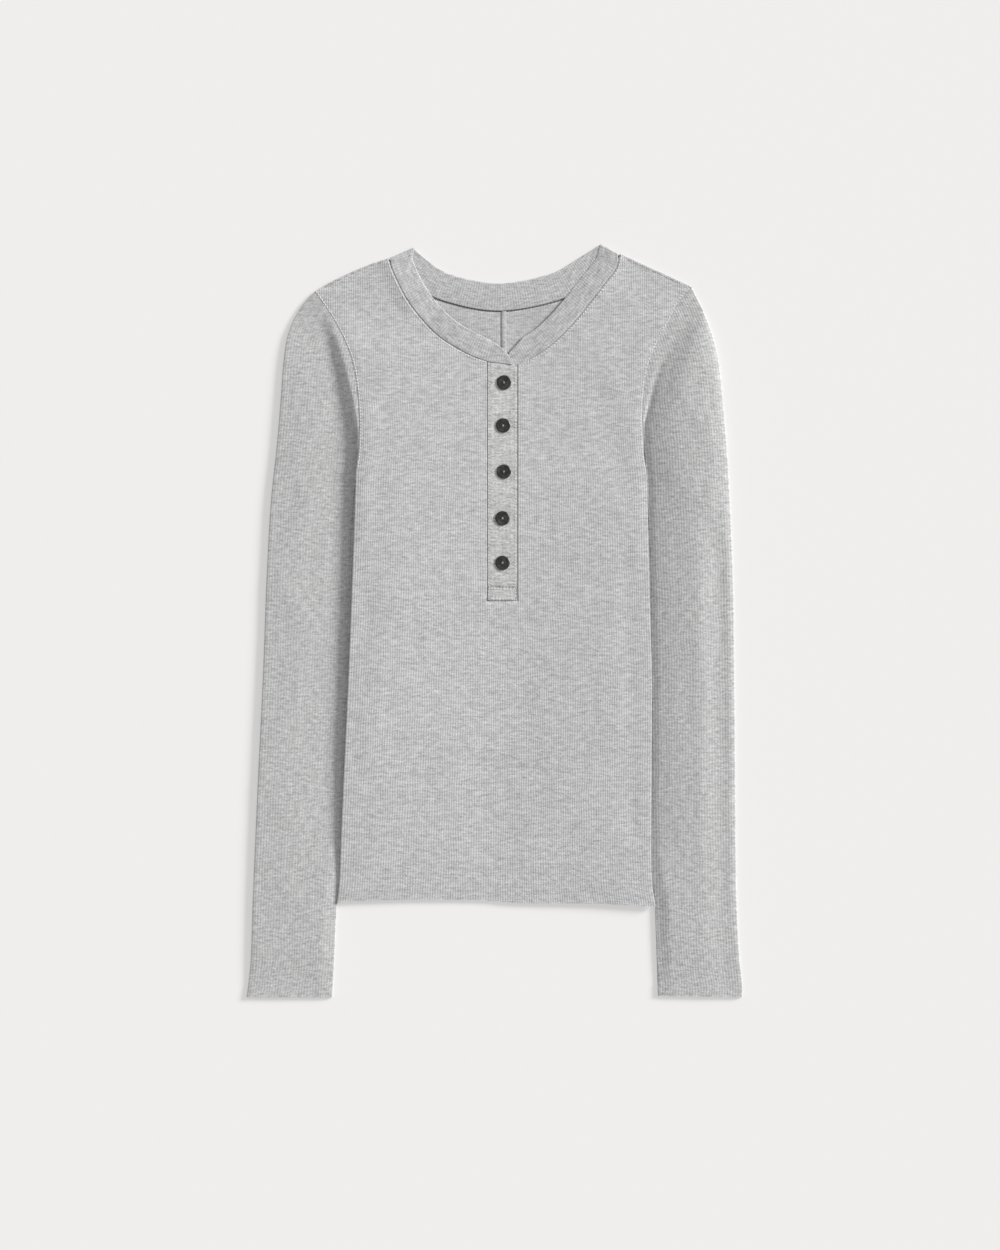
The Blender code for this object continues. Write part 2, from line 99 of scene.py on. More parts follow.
FRONT_NECK = [
    # left x, left y, right x, right y
    (-96.4, 327.6, 111.5, 331.4), (-91.0, 311.9, 108.2, 318.0), (-79.9, 290.3, 98.0, 304.5),
    (-66.4, 272.3, 84.0, 286.5), (-51.1, 257.0, 67.5, 266.5), (-33.1, 245.3, 50.0, 249.5),
    (-19.0, 238.4, 34.0, 238.6), (-7.9, 234.6, 19.7, 231.6),
]
BACK_NECK = [
    # x, y
    (-96.4, 327.6), (-77.2, 307.4), (-57.4, 293.9), (-38.0, 287.2), (-17.0, 282.4), (4.3, 280.6),
    (26.0, 283.0), (47.0, 287.6), (66.8, 294.4), (89.3, 308.8), (111.5, 331.4),
]
HEM = [
    # x, y
    (-142.9, -252.6), (-125.0, -250.4), (-60.0, -249.0), (-7.9, -250.0), (19.7, -252.2),
    (86.0, -252.6), (143.3, -255.4),
]
BASE_ROW = 3            # armhole row where the yoke starts
BACK_SEAM_X = 4.3
SLOT_LEFT, SLOT_RIGHT, SLOT_FOOT = -7.9, 19.7, 19.7
PLACKET_CORNER = (-7.6, 19.7)
SHIFT = np.array(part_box("placket_upper")[0][:2]) / MM - PLACKET_CORNER
print("seam lines shifted by", SHIFT.round(2), "mm")


# %% [markdown]
# ## Curves and distances
# A dressmaker joins the marks on a pattern with a curved ruler. Here a Catmull-Rom curve does
# it, which passes through each mark. All helpers take whole numpy arrays, since a panel has
# some fifty thousand points.

# %% Curve helpers
SPAN_STEPS = 8          # chords between two marks of a curve


def smoothstep(value):
    t = np.clip(value, 0.0, 1.0)
    return t * t * (3 - 2 * t)


def near(distance_to, reach):
    """1 at a line and 0 from reach on, with a soft fall between."""
    return 1 - smoothstep(distance_to / reach)


def ramp(value, ease=0.2):
    """From 0 to 1 at an even slope, with only the ends eased."""
    t = np.clip(value, 0.0, 1.0)
    foot = np.minimum(t, ease) ** 2 / (2 * ease) + np.clip(t - ease, 0, 1 - 2 * ease)
    head = np.clip(t - 1 + ease, 0, ease)
    return (foot + head - head ** 2 / (2 * ease)) / (1 - ease)


def mix(a, b, t):
    return a + (b - a) * t


def curve(points):
    """Catmull-Rom curve through a table's points."""
    p = np.array(points, float)
    p = np.vstack([2 * p[0] - p[1], p, 2 * p[-1] - p[-2]])
    a, b, c, d = (p[i:len(p) - 3 + i, None] for i in range(4))
    t = (np.arange(SPAN_STEPS) / SPAN_STEPS)[None, :, None]
    spans = 0.5 * (2 * b + (c - a) * t + (2 * a - 5 * b + 4 * c - d) * t ** 2
                   + (3 * b - 3 * c + d - a) * t ** 3)
    return np.vstack([spans.reshape(-1, p.shape[1]), p[-2]])


def lengths(line):
    """Distance run along a line, at each of its points."""
    return np.append(0.0, np.cumsum(np.linalg.norm(np.diff(line, axis=0), axis=1)))


def sample(line, at):
    """Points of a line at given distances along it."""
    run = lengths(line)
    return np.stack([np.interp(at, run, column) for column in line.T], axis=-1)


def ordinate(line, at, key=0, value=1):
    """Reads a line like a graph, whichever way it runs."""
    order = np.argsort(line[:, key], kind="stable")
    return np.interp(at, line[order, key], line[order, value])


def distance(line, points):
    """Shortest distance from each point to a line of chords."""
    flat = points.reshape(-1, 2)
    best = np.full(len(flat), np.inf)
    for a, b in zip(line, line[1:]):
        chord = b - a
        t = np.clip((flat - a) @ chord / max(chord @ chord, 1e-9), 0, 1)
        best = np.minimum(best, np.hypot(*(flat - a - t[:, None] * chord).T))
    return best.reshape(points.shape[:-1])


def normals(line):
    """Unit normals of a line, to the left of its run."""
    run = np.gradient(line, axis=0)
    run /= np.hypot(*run.T)[:, None]
    return np.stack([-run[:, 1], run[:, 0]], axis=1)


def beside(line, amount):
    """A line moved to the left of its run."""
    return line + normals(line) * amount


def waves(x, y, seed, size):
    """Soft unevenness, about from -1 to 1: crossed waves with fixed random directions."""
    rng = np.random.default_rng(seed)
    total = np.zeros(np.broadcast(x, y).shape)
    for turn, stretch, phase in zip(rng.uniform(0, math.pi, 7), rng.uniform(0.6, 1.7, 7),
                                    rng.uniform(0, math.tau, 7)):
        across = (x * math.cos(turn) + y * math.sin(turn)) * math.tau / (size * stretch)
        total += np.sin(across + phase)
    return total / 3.5


# %% Sides of the shirt
class Side:
    """Smooth seam lines of one side. Its sign is -1 on the left and 1 on the right."""

    def __init__(self, name):
        self.name, self.sign = name, -1 if name == "left" else 1
        self.column = 0 if name == "left" else 1    # in tables with a value for each side
        first = 2 * self.column
        seam = [(row[1 + self.column], row[0]) for row in SIDE_SEAM]

        def pairs(table):
            return [row[first:first + 2] for row in table]

        self.hem_y = seam[0][1]
        self.edge = curve(seam + pairs(ARMHOLE))
        self.armhole = curve(pairs(ARMHOLE))
        self.base = np.array(pairs(ARMHOLE)[BASE_ROW])
        self.tip = np.array(pairs(ARMHOLE)[-1])
        self.shoulder = curve(pairs(SHOULDER))
        self.front_neck = curve(pairs(FRONT_NECK))
        neck = curve(BACK_NECK)[::-self.sign]       # from the neck point to the centre
        self.back_neck = neck[neck[:, 0] * self.sign >= BACK_SEAM_X * self.sign - 0.01]

    def edge_x(self, y):
        return ordinate(self.edge, y, 1, 0)


SIDES = {name: Side(name) for name in ("left", "right")}
LEFT, RIGHT = SIDES["left"], SIDES["right"]
for side in SIDES.values():
    print(side.name, "edge", round(lengths(side.edge)[-1]), "mm, armhole",
          round(lengths(side.armhole)[-1]), "mm, neckline",
          round(lengths(side.front_neck)[-1]), "mm")

# %% [markdown]
# ## How high the cloth lies
# Two plies of knit lie on the floor, pressed thin along the seams and a little lofty between
# them. Beside its edges the body climbs over the sleeves, which are tucked under it, and comes
# down gently towards its middle. A few rules give the height of any point, so neighbouring
# panels agree along their seams.

# %% Heights
WALL = 1.2
GAP = 0.3
PRESSED = 2 * WALL + GAP
LOFT, LOFT_REACH = 1.1, 110.0           # between the seams, and how far inside it is full
HEM_LOFT, HEM_REACH = 0.35, 40.0        # share of it at the hem, and where all of it is back
BULK, BULK_REACH = 0.35, 16.0           # the armhole's seam allowances, folded inwards
EDGE_ROLL, ROLL_REACH = 0.12, 2.6       # how far the front's edge rolls down
UNDERARM_Y = 136.0
BACK_DOWN_Y, BACK_UP_Y = 146.0, 134.0    # the back comes down to the floor between these
BACK_SLOPE, FRONT_SLOPE = 15.0, 150.0    # how far the panels take to come down again
EDGE_LIFT = np.array([
    # y, rise of the front's edge on the left, and on the right
    (-252.6, 1.3, 2.8), (-228.0, 2.5, 3.1), (-190.0, 3.9, 3.3), (-142.0, 5.2, 3.4),
    (-100.0, 6.0, 3.4), (60.0, 6.6, 3.4), (108.0, 6.8, 3.0), (136.0, 6.9, 1.9),
    (160.0, 6.6, 1.2), (190.0, 6.0, 1.0), (230.0, 4.6, 1.1), (250.0, 3.1, 1.0),
    (266.0, 1.3, 0.7), (281.0, 0.4, 0.3), (301.0, 0.0, 0.0),
])
TUCK = np.array([
    # y, depth under the body
    (-252.6, 0.2), (-225.0, 1.8), (-192.0, 4.5), (-120.0, 10.0), (-50.0, 15.0), (20.0, 16.5),
    (56.0, 15.0), (80.0, 14.0), (104.0, 11.0), (118.0, 8.0), (129.0, 4.0), (136.0, -0.2),
])
SHELF_MORE = 2.0        # how far the body stays up past the sleeve's tucked edge
SHELF_Y = 20.0          # above this the front's shelf is as wide as here
HEM_LINE = curve(HEM)


def edge_lift(side, y):
    return np.interp(y, EDGE_LIFT[:, 0], EDGE_LIFT[:, 1 + side.column])


def body_lift(points, of_back):
    """Rise over the sleeves. The back comes down to the floor again at the underarm."""
    x, y = points[..., 0], points[..., 1]
    slope = BACK_SLOPE if of_back else FRONT_SLOPE
    share = smoothstep((BACK_DOWN_Y - y) / (BACK_DOWN_Y - BACK_UP_Y)) if of_back else 1.0
    shelf = np.interp(y if of_back else np.minimum(y, SHELF_Y), *TUCK.T) + SHELF_MORE
    return sum(edge_lift(side, y) * share
               * (1 - ramp(((side.edge_x(y) - x) * side.sign - shelf) / slope))
               for side in (LEFT, RIGHT))


def front_height(points):
    """Height of the front between its ribs, before its creases."""
    x, y = points[..., 0], points[..., 1]
    from_edge, from_shoulder = (
        np.where(x < 0, distance(left, points), distance(right, points))
        for left, right in ((LEFT.edge, RIGHT.edge), (LEFT.shoulder, RIGHT.shoulder)))
    from_hem = y - ordinate(HEM_LINE, x)
    loft = LOFT * ramp(from_edge / LOFT_REACH) * smoothstep(from_shoulder / 30)
    loft *= mix(HEM_LOFT, 1.0, smoothstep(from_hem / HEM_REACH))
    bulk = BULK * smoothstep((y - 30) / 60) * smoothstep(from_shoulder / 40)
    bulk *= smoothstep(from_edge / 7) * near(from_edge - 9, BULK_REACH)
    rolled = EDGE_ROLL * near(from_edge, ROLL_REACH)
    return body_lift(points, of_back=False) + PRESSED + loft + bulk - rolled


# %% [markdown]
# ## One builder for every panel
# A grid of points is bent onto the panel, with four columns to each rib. Extruding all of it
# gives the second face, which is then thinned out where nobody can count its ribs. Each point
# keeps its place in the knit, which is its rib, how far along the rib it is, and its face, so
# the material can follow the stitches however the panel bends.

# %% Panel builder
COLUMNS = 4             # of the mesh, to each rib
MERGE = 0.0005          # points closer than this are one
RIB_PROFILE = np.array([0.0, 0.8, 1.0, 0.8])    # from the groove over the ridge


def ribs(count, rise):
    """Height of the ribs over their grooves, for a number of columns."""
    return rise * RIB_PROFILE[np.arange(count) % COLUMNS]


def cloth(name, outer, knit, inner=None, holes=None, keep=8):
    """Mesh of a panel. outer, inner and knit are arrays of rows x columns x 3 in mm. holes
    marks the grid's faces that are cut away, and without inner the ends are capped instead.
    The second face keeps one column of so many."""
    rows, columns = outer.shape[:2]
    outer, inner = (None if face is None else (face + [*SHIFT, 0]).reshape(-1, 3).tolist()
                    for face in (outer, inner))
    bm = bmesh.new()
    bmesh.ops.create_grid(bm, x_segments=columns - 1, y_segments=rows - 1, size=0.5)
    spot = bm.verts.layers.int.new("spot")
    place = bm.verts.layers.float_vector.new("knit")
    for vert in bm.verts:
        vert[spot] = (round((vert.co.y + 0.5) * (rows - 1)) * columns
                      + round((vert.co.x + 0.5) * (columns - 1)))
    if holes is not None:
        gone = [face for face in bm.faces
                if holes[divmod(min(vert[spot] for vert in face.verts), columns)]]
        bmesh.ops.delete(bm, geom=gone, context="FACES")
    for vert in bm.verts:
        vert.co = outer[vert[spot]]
    bmesh.ops.remove_doubles(bm, verts=bm.verts, dist=MERGE)
    bmesh.ops.dissolve_degenerate(bm, edges=bm.edges, dist=MERGE)
    second = set()
    if inner is not None:
        grown = bmesh.ops.extrude_face_region(bm, geom=bm.faces[:])
        second = {item for item in grown["geom"] if isinstance(item, bmesh.types.BMVert)}
    stitches = knit.reshape(-1, 3).tolist()
    for vert in bm.verts:
        if vert in second:
            vert.co = inner[vert[spot]]
        vert[place] = stitches[vert[spot]]
    spare = [edge for edge in bm.edges
             if edge.verts[0] in second and edge.verts[1] in second and not edge.is_boundary
             and edge.verts[0][spot] % columns == edge.verts[1][spot] % columns
             and edge.verts[0][spot] % columns % keep and len(edge.link_faces) == 2
             and all(vert in second for face in edge.link_faces for vert in face.verts)]
    bmesh.ops.dissolve_edges(bm, edges=spare, use_verts=True)
    if not second:
        bmesh.ops.holes_fill(bm, edges=bm.edges)
    bmesh.ops.recalc_face_normals(bm, faces=bm.faces)
    return place_mesh(bm, name)


def link_object(name, data):
    piece = bpy.data.objects.new(name, data)
    scene.collection.objects.link(piece)
    return piece


def place_mesh(bm, name, angle=50, unit=MM):
    """Object for a finished bmesh, smooth but for edges sharper than the angle."""
    bmesh.ops.scale(bm, vec=(unit, unit, unit), verts=bm.verts)
    mesh = bpy.data.meshes.new(name)
    bm.to_mesh(mesh)
    loose = sum(edge.is_boundary or not edge.is_manifold for edge in bm.edges)
    bm.free()
    mesh.shade_smooth()
    mesh.set_sharp_from_angle(angle=math.radians(angle))
    mesh.calc_loop_triangles()
    print(f"{name}: {len(mesh.loop_triangles)} triangles, {loose} open edges")
    return link_object(name, mesh)


def knit_at(shape, rib, course, face):
    """Place in the knit of each point: rib number, distance along the rib, and face."""
    return np.stack([np.broadcast_to(rib, shape), np.broadcast_to(course, shape),
                     np.broadcast_to(face, shape)], axis=-1).astype(float)


# %% [markdown]
# ## The front
# One panel, with a slot for the placket. Its ribs run from the hem to the shoulders, and those
# outside the underarm start at the armhole. The grid has five zones of columns: the two yoke
# ends, the two sides of the body, and the strip below the slot. The ribs wander a little, as
# they do in any knit that has been worn and washed.

# %% Columns and rows of a body panel
PITCH = 2.0
RIB_RISE = 0.22
ROW_STEP = 5.0
HEM_RUN, CHEST_RUN = 272.0, 188.0       # from the slot's foot down to the hem, and up to the yoke
YOKE_ROWS = 26
WANDER, WANDER_SIZE = 0.55, 34.0        # how far the ribs stray from their lines, and how often
SPREAD = 0.056          # how much wider the strip under the slot is at the hem, on each side
SLOT_STEPS = (1.2, 0.6, 0.0)            # the last rows below the slot, close together


def zone(start, end):
    """Columns from start up to but not at end, four to a rib."""
    count = max(round(abs(end - start) / PITCH), 1) * COLUMNS
    return np.linspace(start, end, count + 1)[:-1]


def steps(count):
    return np.linspace(0.0, 1.0, count + 1)


def body_grid(slot, top_line):
    """Plane points from the hem to the shoulders, each column's zone, and two of the rows:
    the one at the slot's foot and the one at the yoke's foot."""
    zones = [zone(LEFT.tip[0], LEFT.base[0]), zone(LEFT.base[0], slot[0]), zone(*slot),
             zone(slot[1], RIGHT.base[0]),
             np.append(zone(RIGHT.base[0], RIGHT.tip[0]), RIGHT.tip[0])]
    zone_of = np.repeat(np.arange(5), [len(part) for part in zones])
    base = np.concatenate(zones)
    base_y = np.interp(base, [LEFT.base[0], RIGHT.base[0]], [LEFT.base[1], RIGHT.base[1]])

    def across(y):
        """Where the columns are at a level below the yoke, spread with the side seams."""
        spread = SPREAD * (slot[1] - slot[0]) * np.clip((SLOT_FOOT - y) / HEM_RUN, 0, 1)
        start, end = slot[0] - spread, slot[1] + spread
        left = mix(LEFT.edge_x(y), start, (base - LEFT.base[0]) / (slot[0] - LEFT.base[0]))
        middle = mix(start, end, (base - slot[0]) / (slot[1] - slot[0]))
        right = mix(end, RIGHT.edge_x(y), (base - slot[1]) / (RIGHT.base[0] - slot[1]))
        return np.where(zone_of == 2, middle, np.where(zone_of < 2, left, right))

    hem_y = ordinate(HEM_LINE, across(np.full(len(base), SLOT_FOOT - HEM_RUN + 1.3)))
    levels = [mix(hem_y, SLOT_FOOT, t) for t in steps(round(HEM_RUN / ROW_STEP))]
    levels[-1:] = [np.full(len(base), SLOT_FOOT - drop) for drop in SLOT_STEPS]
    slot_row = len(levels) - 1
    levels += [mix(SLOT_FOOT, base_y, t) for t in steps(round(CHEST_RUN / ROW_STEP))[1:]]
    yoke_row = len(levels) - 1
    foot = base_y.copy()
    for side, part in ((LEFT, 0), (RIGHT, 4)):
        arm = side.armhole[side.armhole[:, 1] >= side.base[1] - 0.01]
        foot = np.where(zone_of == part, ordinate(arm, base), foot)
    rows = [np.stack([across(y), y], axis=1) for y in levels[:-1]]
    top = ordinate(top_line, base)
    crowded = 1 - (1 - steps(YOKE_ROWS)) ** 1.6     # closer and closer towards the neck
    rows += [np.stack([base, mix(foot, top, t)], axis=1) for t in crowded]
    rows = np.array(rows)
    row, column = np.arange(len(rows))[:, None], np.arange(len(base))
    from_seam = np.min([np.abs(column - end) for end in np.flatnonzero(np.diff(zone_of))], axis=0)
    free = smoothstep(from_seam / 24) * smoothstep(row / 4) * smoothstep((len(rows) - 1 - row) / 8)
    free = np.where((zone_of == 0) | (zone_of == 4), 0.0, free)
    rows[..., 0] += WANDER * free * waves(rows[..., 0], rows[..., 1], 31, WANDER_SIZE)
    return rows, zone_of, slot_row, yoke_row


# %% Creases of the front
FRONT_CREASES = [
    # from x, y, to x, y, half width, height
    (-96.0, 214.0, -58.0, 262.0, 9.0, 0.35), (-104.0, 180.0, -80.0, 232.0, 8.0, -0.30),
    (112.0, 208.0, 78.0, 262.0, 9.0, 0.30), (104.0, 150.0, 88.0, 214.0, 10.0, -0.28),
    (-112.0, 96.0, -70.0, 132.0, 10.0, 0.30), (118.0, 92.0, 84.0, 128.0, 10.0, 0.26),
    (-118.0, -150.0, -102.0, -20.0, 9.0, 0.25), (122.0, -190.0, 117.0, 60.0, 7.0, -0.35),
    (-40.0, -60.0, 30.0, -84.0, 14.0, -0.18), (40.0, 20.0, 96.0, -10.0, 15.0, 0.18),
    (-84.0, 20.0, -30.0, -14.0, 14.0, 0.16), (26.0, 228.0, 44.0, 150.0, 10.0, -0.2),
    (-95.0, 322.0, -76.0, 284.0, 8.0, 0.95), (110.0, 326.0, 94.0, 298.0, 8.0, 0.85),
    (SLOT_LEFT, SLOT_FOOT + 8, SLOT_LEFT, 234.0, 26.0, 0.35),
    (SLOT_RIGHT, SLOT_FOOT + 8, SLOT_RIGHT, 234.0, 26.0, 0.3),
]


def creases(table, points):
    """Soft ridges and troughs, each along its own line and faded at both ends."""
    total = np.zeros(points.shape[:-1])
    for x0, y0, x1, y1, width, height in table:
        line = np.array([(x0, y0), (x1, y1)], float)
        total += height * np.exp(-(distance(line, points) / width) ** 2)
    return total


def front_surface(points):
    """Height of the front between its ribs, creases and all."""
    uneven = 0.08 * waves(points[..., 0], points[..., 1], 3, 46)
    return front_height(points) + creases(FRONT_CREASES, points) + uneven


def body_knit(shape, plane, face):
    return knit_at(shape, np.arange(shape[1]) / COLUMNS, plane[..., 1], face)


# %% Front panel
SLOT_TOP = 240.0
# the cloth dips where it is sewn to the placket and to the neckband
SLOT_DIP, SLOT_DIP_REACH = {"left": 0.65, "right": 0.2, "foot": 0.9}, 1.3
NECK_DIP, NECK_DIP_REACH = 0.3, 0.9
neck_line = np.vstack([LEFT.shoulder[:-1], LEFT.front_neck, RIGHT.front_neck, RIGHT.shoulder[:-1]])
plane, zone_of, slot_row, yoke_row = body_grid((SLOT_LEFT, SLOT_RIGHT), neck_line)
holes = np.zeros(plane.shape[:2], bool)
holes[:yoke_row, (zone_of == 0) | (zone_of == 4)] = True
holes[slot_row:, zone_of == 2] = True
lift = body_lift(plane, of_back=False)
rise = ribs(plane.shape[1], RIB_RISE)
height = front_surface(plane)
slot_edge = np.array([(SLOT_LEFT, SLOT_FOOT), (SLOT_RIGHT, SLOT_FOOT), (SLOT_RIGHT, SLOT_TOP)])
slot_dip = np.where(plane[..., 0] > BACK_SEAM_X, SLOT_DIP["right"], SLOT_DIP["left"])
slot_dip = np.where(plane[..., 1] < SLOT_FOOT + 1, SLOT_DIP["foot"], slot_dip)
height -= slot_dip * near(distance(slot_edge, plane), SLOT_DIP_REACH)
height -= NECK_DIP * near(np.minimum(distance(LEFT.front_neck, plane),
                                     distance(RIGHT.front_neck, plane)), NECK_DIP_REACH)
front = cloth("front_cloth", np.dstack([plane, height + rise]), body_knit(holes.shape, plane, 1),
              inner=np.dstack([plane, lift + PRESSED - WALL]), holes=holes)

# %% [markdown]
# ## The back
# The back is two panels with a seam down the middle. Their outer face lies on the floor and has
# the same ribs as the front, pressed flat at z = 0, so the shirt can be turned over. Inside the
# neck the other face shows, with ribs of its own.

# %% Back panels
back_line = np.vstack([LEFT.shoulder[:-1], LEFT.back_neck, RIGHT.back_neck, RIGHT.shoulder[:-1]])
HALF_GAP = 0.1
SEAM_DIP, SEAM_DIP_REACH = 0.45, 1.6
BACK_NECK_DIP, BACK_NECK_REACH = 1.0, 2.2
plane, zone_of, _, yoke_row = body_grid(
    (BACK_SEAM_X - HALF_GAP, BACK_SEAM_X + HALF_GAP), back_line)
lift = body_lift(plane, of_back=True)
rise = ribs(plane.shape[1], RIB_RISE)
floor_face = np.dstack([plane, lift + RIB_RISE - rise])
neck_edge = np.vstack([LEFT.back_neck, RIGHT.back_neck[::-1]])
dip = np.maximum(SEAM_DIP * near(np.abs(plane[..., 0] - BACK_SEAM_X), SEAM_DIP_REACH),
                 BACK_NECK_DIP * near(distance(neck_edge, plane), BACK_NECK_REACH))
inside_face = np.dstack([plane, lift + WALL - RIB_RISE * 0.5 + rise * 0.5 - dip])
knit = body_knit(plane.shape[:2], plane, 2)
backs = {}
for name, first_zone, zones in (("left", 0, (0, 1)), ("right", 4, (3, 4))):
    columns = np.flatnonzero(np.isin(zone_of, zones))
    if name == "left":
        columns = np.append(columns, columns[-1] + 1)
    holes = np.zeros((plane.shape[0], len(columns)), bool)
    holes[:yoke_row, zone_of[columns] == first_zone] = True
    backs[name] = cloth(f"back_{name}_cloth", floor_face[:, columns], knit[:, columns],
                        inner=inside_face[:, columns], holes=holes, keep=1)

# %% [markdown]
# ## The sleeves
# Each sleeve is a flattened tube. Its ribs run along the outer fold, and the ones that reach the
# armhole or the underarm seam simply end there, as cut cloth does. The columns are therefore
# laid out by their distance from the outer fold, and a column that would pass the inner edge is
# held on it. Worn cloth is never quite even, so each side has its own heights and creases, and
# its own strip beside the armhole where the seam lifts it to the front's level.

# %% Sleeve sizes
SLEEVE_EDGE = [
    # outer y, left outer x, right outer x, left height, right height
    (297.0, -163.1, 0.0, 2.7, 2.7), (292.0, -168.5, 181.2, 3.0, 4.2),
    (281.0, -177.0, 186.6, 3.2, 6.0), (260.0, -186.8, 194.8, 3.6, 7.7),
    (233.0, -191.2, 201.2, 4.0, 8.2), (200.0, -193.6, 204.6, 4.2, 8.2),
    (158.0, -197.2, 208.3, 4.3, 8.0), (106.0, -202.6, 211.2, 4.4, 7.5),
    (36.0, -206.4, 214.0, 4.4, 6.8), (-45.0, -209.4, 215.1, 4.4, 6.2),
    (-120.0, -213.0, 215.8, 4.5, 5.9), (-190.0, -216.2, 216.2, 4.5, 5.6),
    (-250.0, -218.7, 217.1, 4.3, 5.0), (-300.0, -220.3, 219.5, 4.0, 4.4),
    (-325.0, -222.6, 222.2, 3.3, 3.6), (-337.0, -224.2, 221.9, 3.2, 3.3),
]
CUFF_INNER = {"left": (-146.6, -337.0), "right": (145.8, -335.6)}
SLEEVE_PITCH = 2.42
SLEEVE_RISE = 0.17
SLEEVE_ROWS = 108
CUFF_HEM = 10.0         # depth of the cuff's turned hem
CUFF_DIP, CUFF_DIP_REACH = 0.45, 45.0   # the single cloth above that hem lies lower
FOLD_FADE = 2.4         # the ribs rise over so many mm beside a folded edge
HOLLOW = 0.12           # half the least room inside the tube
FOLD, INNER_FOLD = 1.0, 0.6     # radius of the folded edges
INNER_SLOPE = {"left": (52.0, 48.0), "right": (42.0, 28.0)}     # width, low and at the cap
OUTER_RISE = {
    # distance from the outer fold, share of the rise: low, and at the cap
    "left": [(0.0, 1.0, 1.0), (40.0, 1.0, 1.0)],
    "right": [(0.0, 0.16, 0.3), (5.0, 0.42, 0.62), (11.0, 0.40, 0.82), (17.0, 0.5, 0.94),
              (30.0, 1.0, 1.0), (40.0, 1.0, 1.0)],
}
CREVICE = {"left": 0.6, "right": 0.9}   # depth of the dip where a sleeve slips under the body
GROOVE = {"left": 0.0, "right": 0.25}   # and of the sharp groove right at the body's edge
CAP_ROLL = {"left": 0.15, "right": 0.0}         # how far the sleeve rolls down at the armhole
CAP_STEP = {"left": 0.55, "right": -0.25}       # height of the sleeve over the front's edge
CAP_STRIP = {
    # y, width of the strip beside the armhole that stays as high as the front
    "left": [(150.0, 0.0), (172.0, 0.8), (192.0, 3.4), (214.0, 6.0), (236.0, 7.0),
             (258.0, 5.7), (276.0, 4.5)],
    "right": [(165.0, 0.0), (180.0, 1.0), (198.0, 4.0), (229.0, 7.5), (253.0, 9.5),
              (268.0, 12.0), (276.0, 16.0)],
}
CAP_SOFT = {"left": 1.1, "right": 0.55}         # how gently that strip ends


def sleeve_outer(side):
    """The outer fold from the cuff up to the shoulder point."""
    rows = [(row[1 + side.column], row[0]) for row in SLEEVE_EDGE[1:]]
    return curve([tuple(side.tip)] + rows)[::-1]


def sleeve_inner_x(side, y):
    """The inner edge: the armhole above, tucked under the body, then straight to the cuff."""
    cuff = CUFF_INNER[side.name]
    held = np.maximum(y, side.hem_y)
    x = side.edge_x(held) - side.sign * np.interp(held, *TUCK.T)
    below = (side.hem_y - y) / (side.hem_y - cuff[1])
    x = np.where(y < side.hem_y, mix(x, cuff[0], below), x)
    return np.where(y > UNDERARM_Y, side.edge_x(y) + side.sign * 0.2, x)


SLEEVE_CREASES = {
    "left": [
        # from x, y, to x, y, half width, height
        (-184.0, 150.0, -150.0, 196.0, 9.0, 0.5), (-176.0, 96.0, -140.0, 138.0, 9.0, 0.45),
        (-196.0, 30.0, -166.0, -2.0, 10.0, 0.4), (-158.0, -60.0, -172.0, -110.0, 9.0, -0.4),
        (-206.0, -150.0, -176.0, -186.0, 11.0, 0.35), (-196.0, -236.0, -166.0, -262.0, 9.0, 0.3),
    ],
    "right": [
        (190.0, 176.0, 162.0, 212.0, 9.0, 0.45), (192.0, 104.0, 160.0, 132.0, 10.0, 0.4),
        (166.0, -20.0, 174.0, -90.0, 8.0, -0.35), (196.0, -262.0, 172.0, -280.0, 9.0, 0.3),
        (172.0, 266.0, 153.0, 220.0, 8.0, -1.6),
    ],
}


# %% Sleeve maker
def sleeve_grid(side):
    """Points of one face, their distances from the outer fold and from the inner edge, and
    the cuff's level at each column."""
    outer = sleeve_outer(side)

    def width_at(y):
        return np.abs(sleeve_inner_x(side, y) - ordinate(outer, y, 1, 0))
    widest = np.max(width_at(np.linspace(outer[0, 1], UNDERARM_Y, 200)))
    count = math.ceil(widest / SLEEVE_PITCH) * COLUMNS
    depth = np.arange(count + 1) * SLEEVE_PITCH / COLUMNS
    fine = np.linspace(outer[0, 1], side.tip[1], 1200)
    widths = width_at(fine)
    upper = fine > UNDERARM_Y
    ends = np.interp(-depth, -widths[upper], fine[upper])
    cuff_y = mix(outer[0, 1], CUFF_INNER[side.name][1], np.clip(depth / widths[0], 0, 1))
    rows = []
    for t in steps(SLEEVE_ROWS):
        y = mix(cuff_y, ends, t)
        width = width_at(y)
        inset = np.minimum(depth, width)
        rows.append(np.stack([ordinate(outer, y, 1, 0) - side.sign * inset, y, inset,
                              width - inset], axis=1))
    rows = np.array(rows)
    plane, inset, beside = rows[..., :2], rows[..., 2], rows[..., 3]
    plane[..., 0] += (WANDER * waves(plane[..., 0], plane[..., 1], 37, WANDER_SIZE)
                      * smoothstep(inset / 14) * smoothstep(beside / 14))
    beside = np.where(plane[..., 1] > UNDERARM_Y, distance(side.armhole, plane), beside)
    return plane, inset, beside, cuff_y


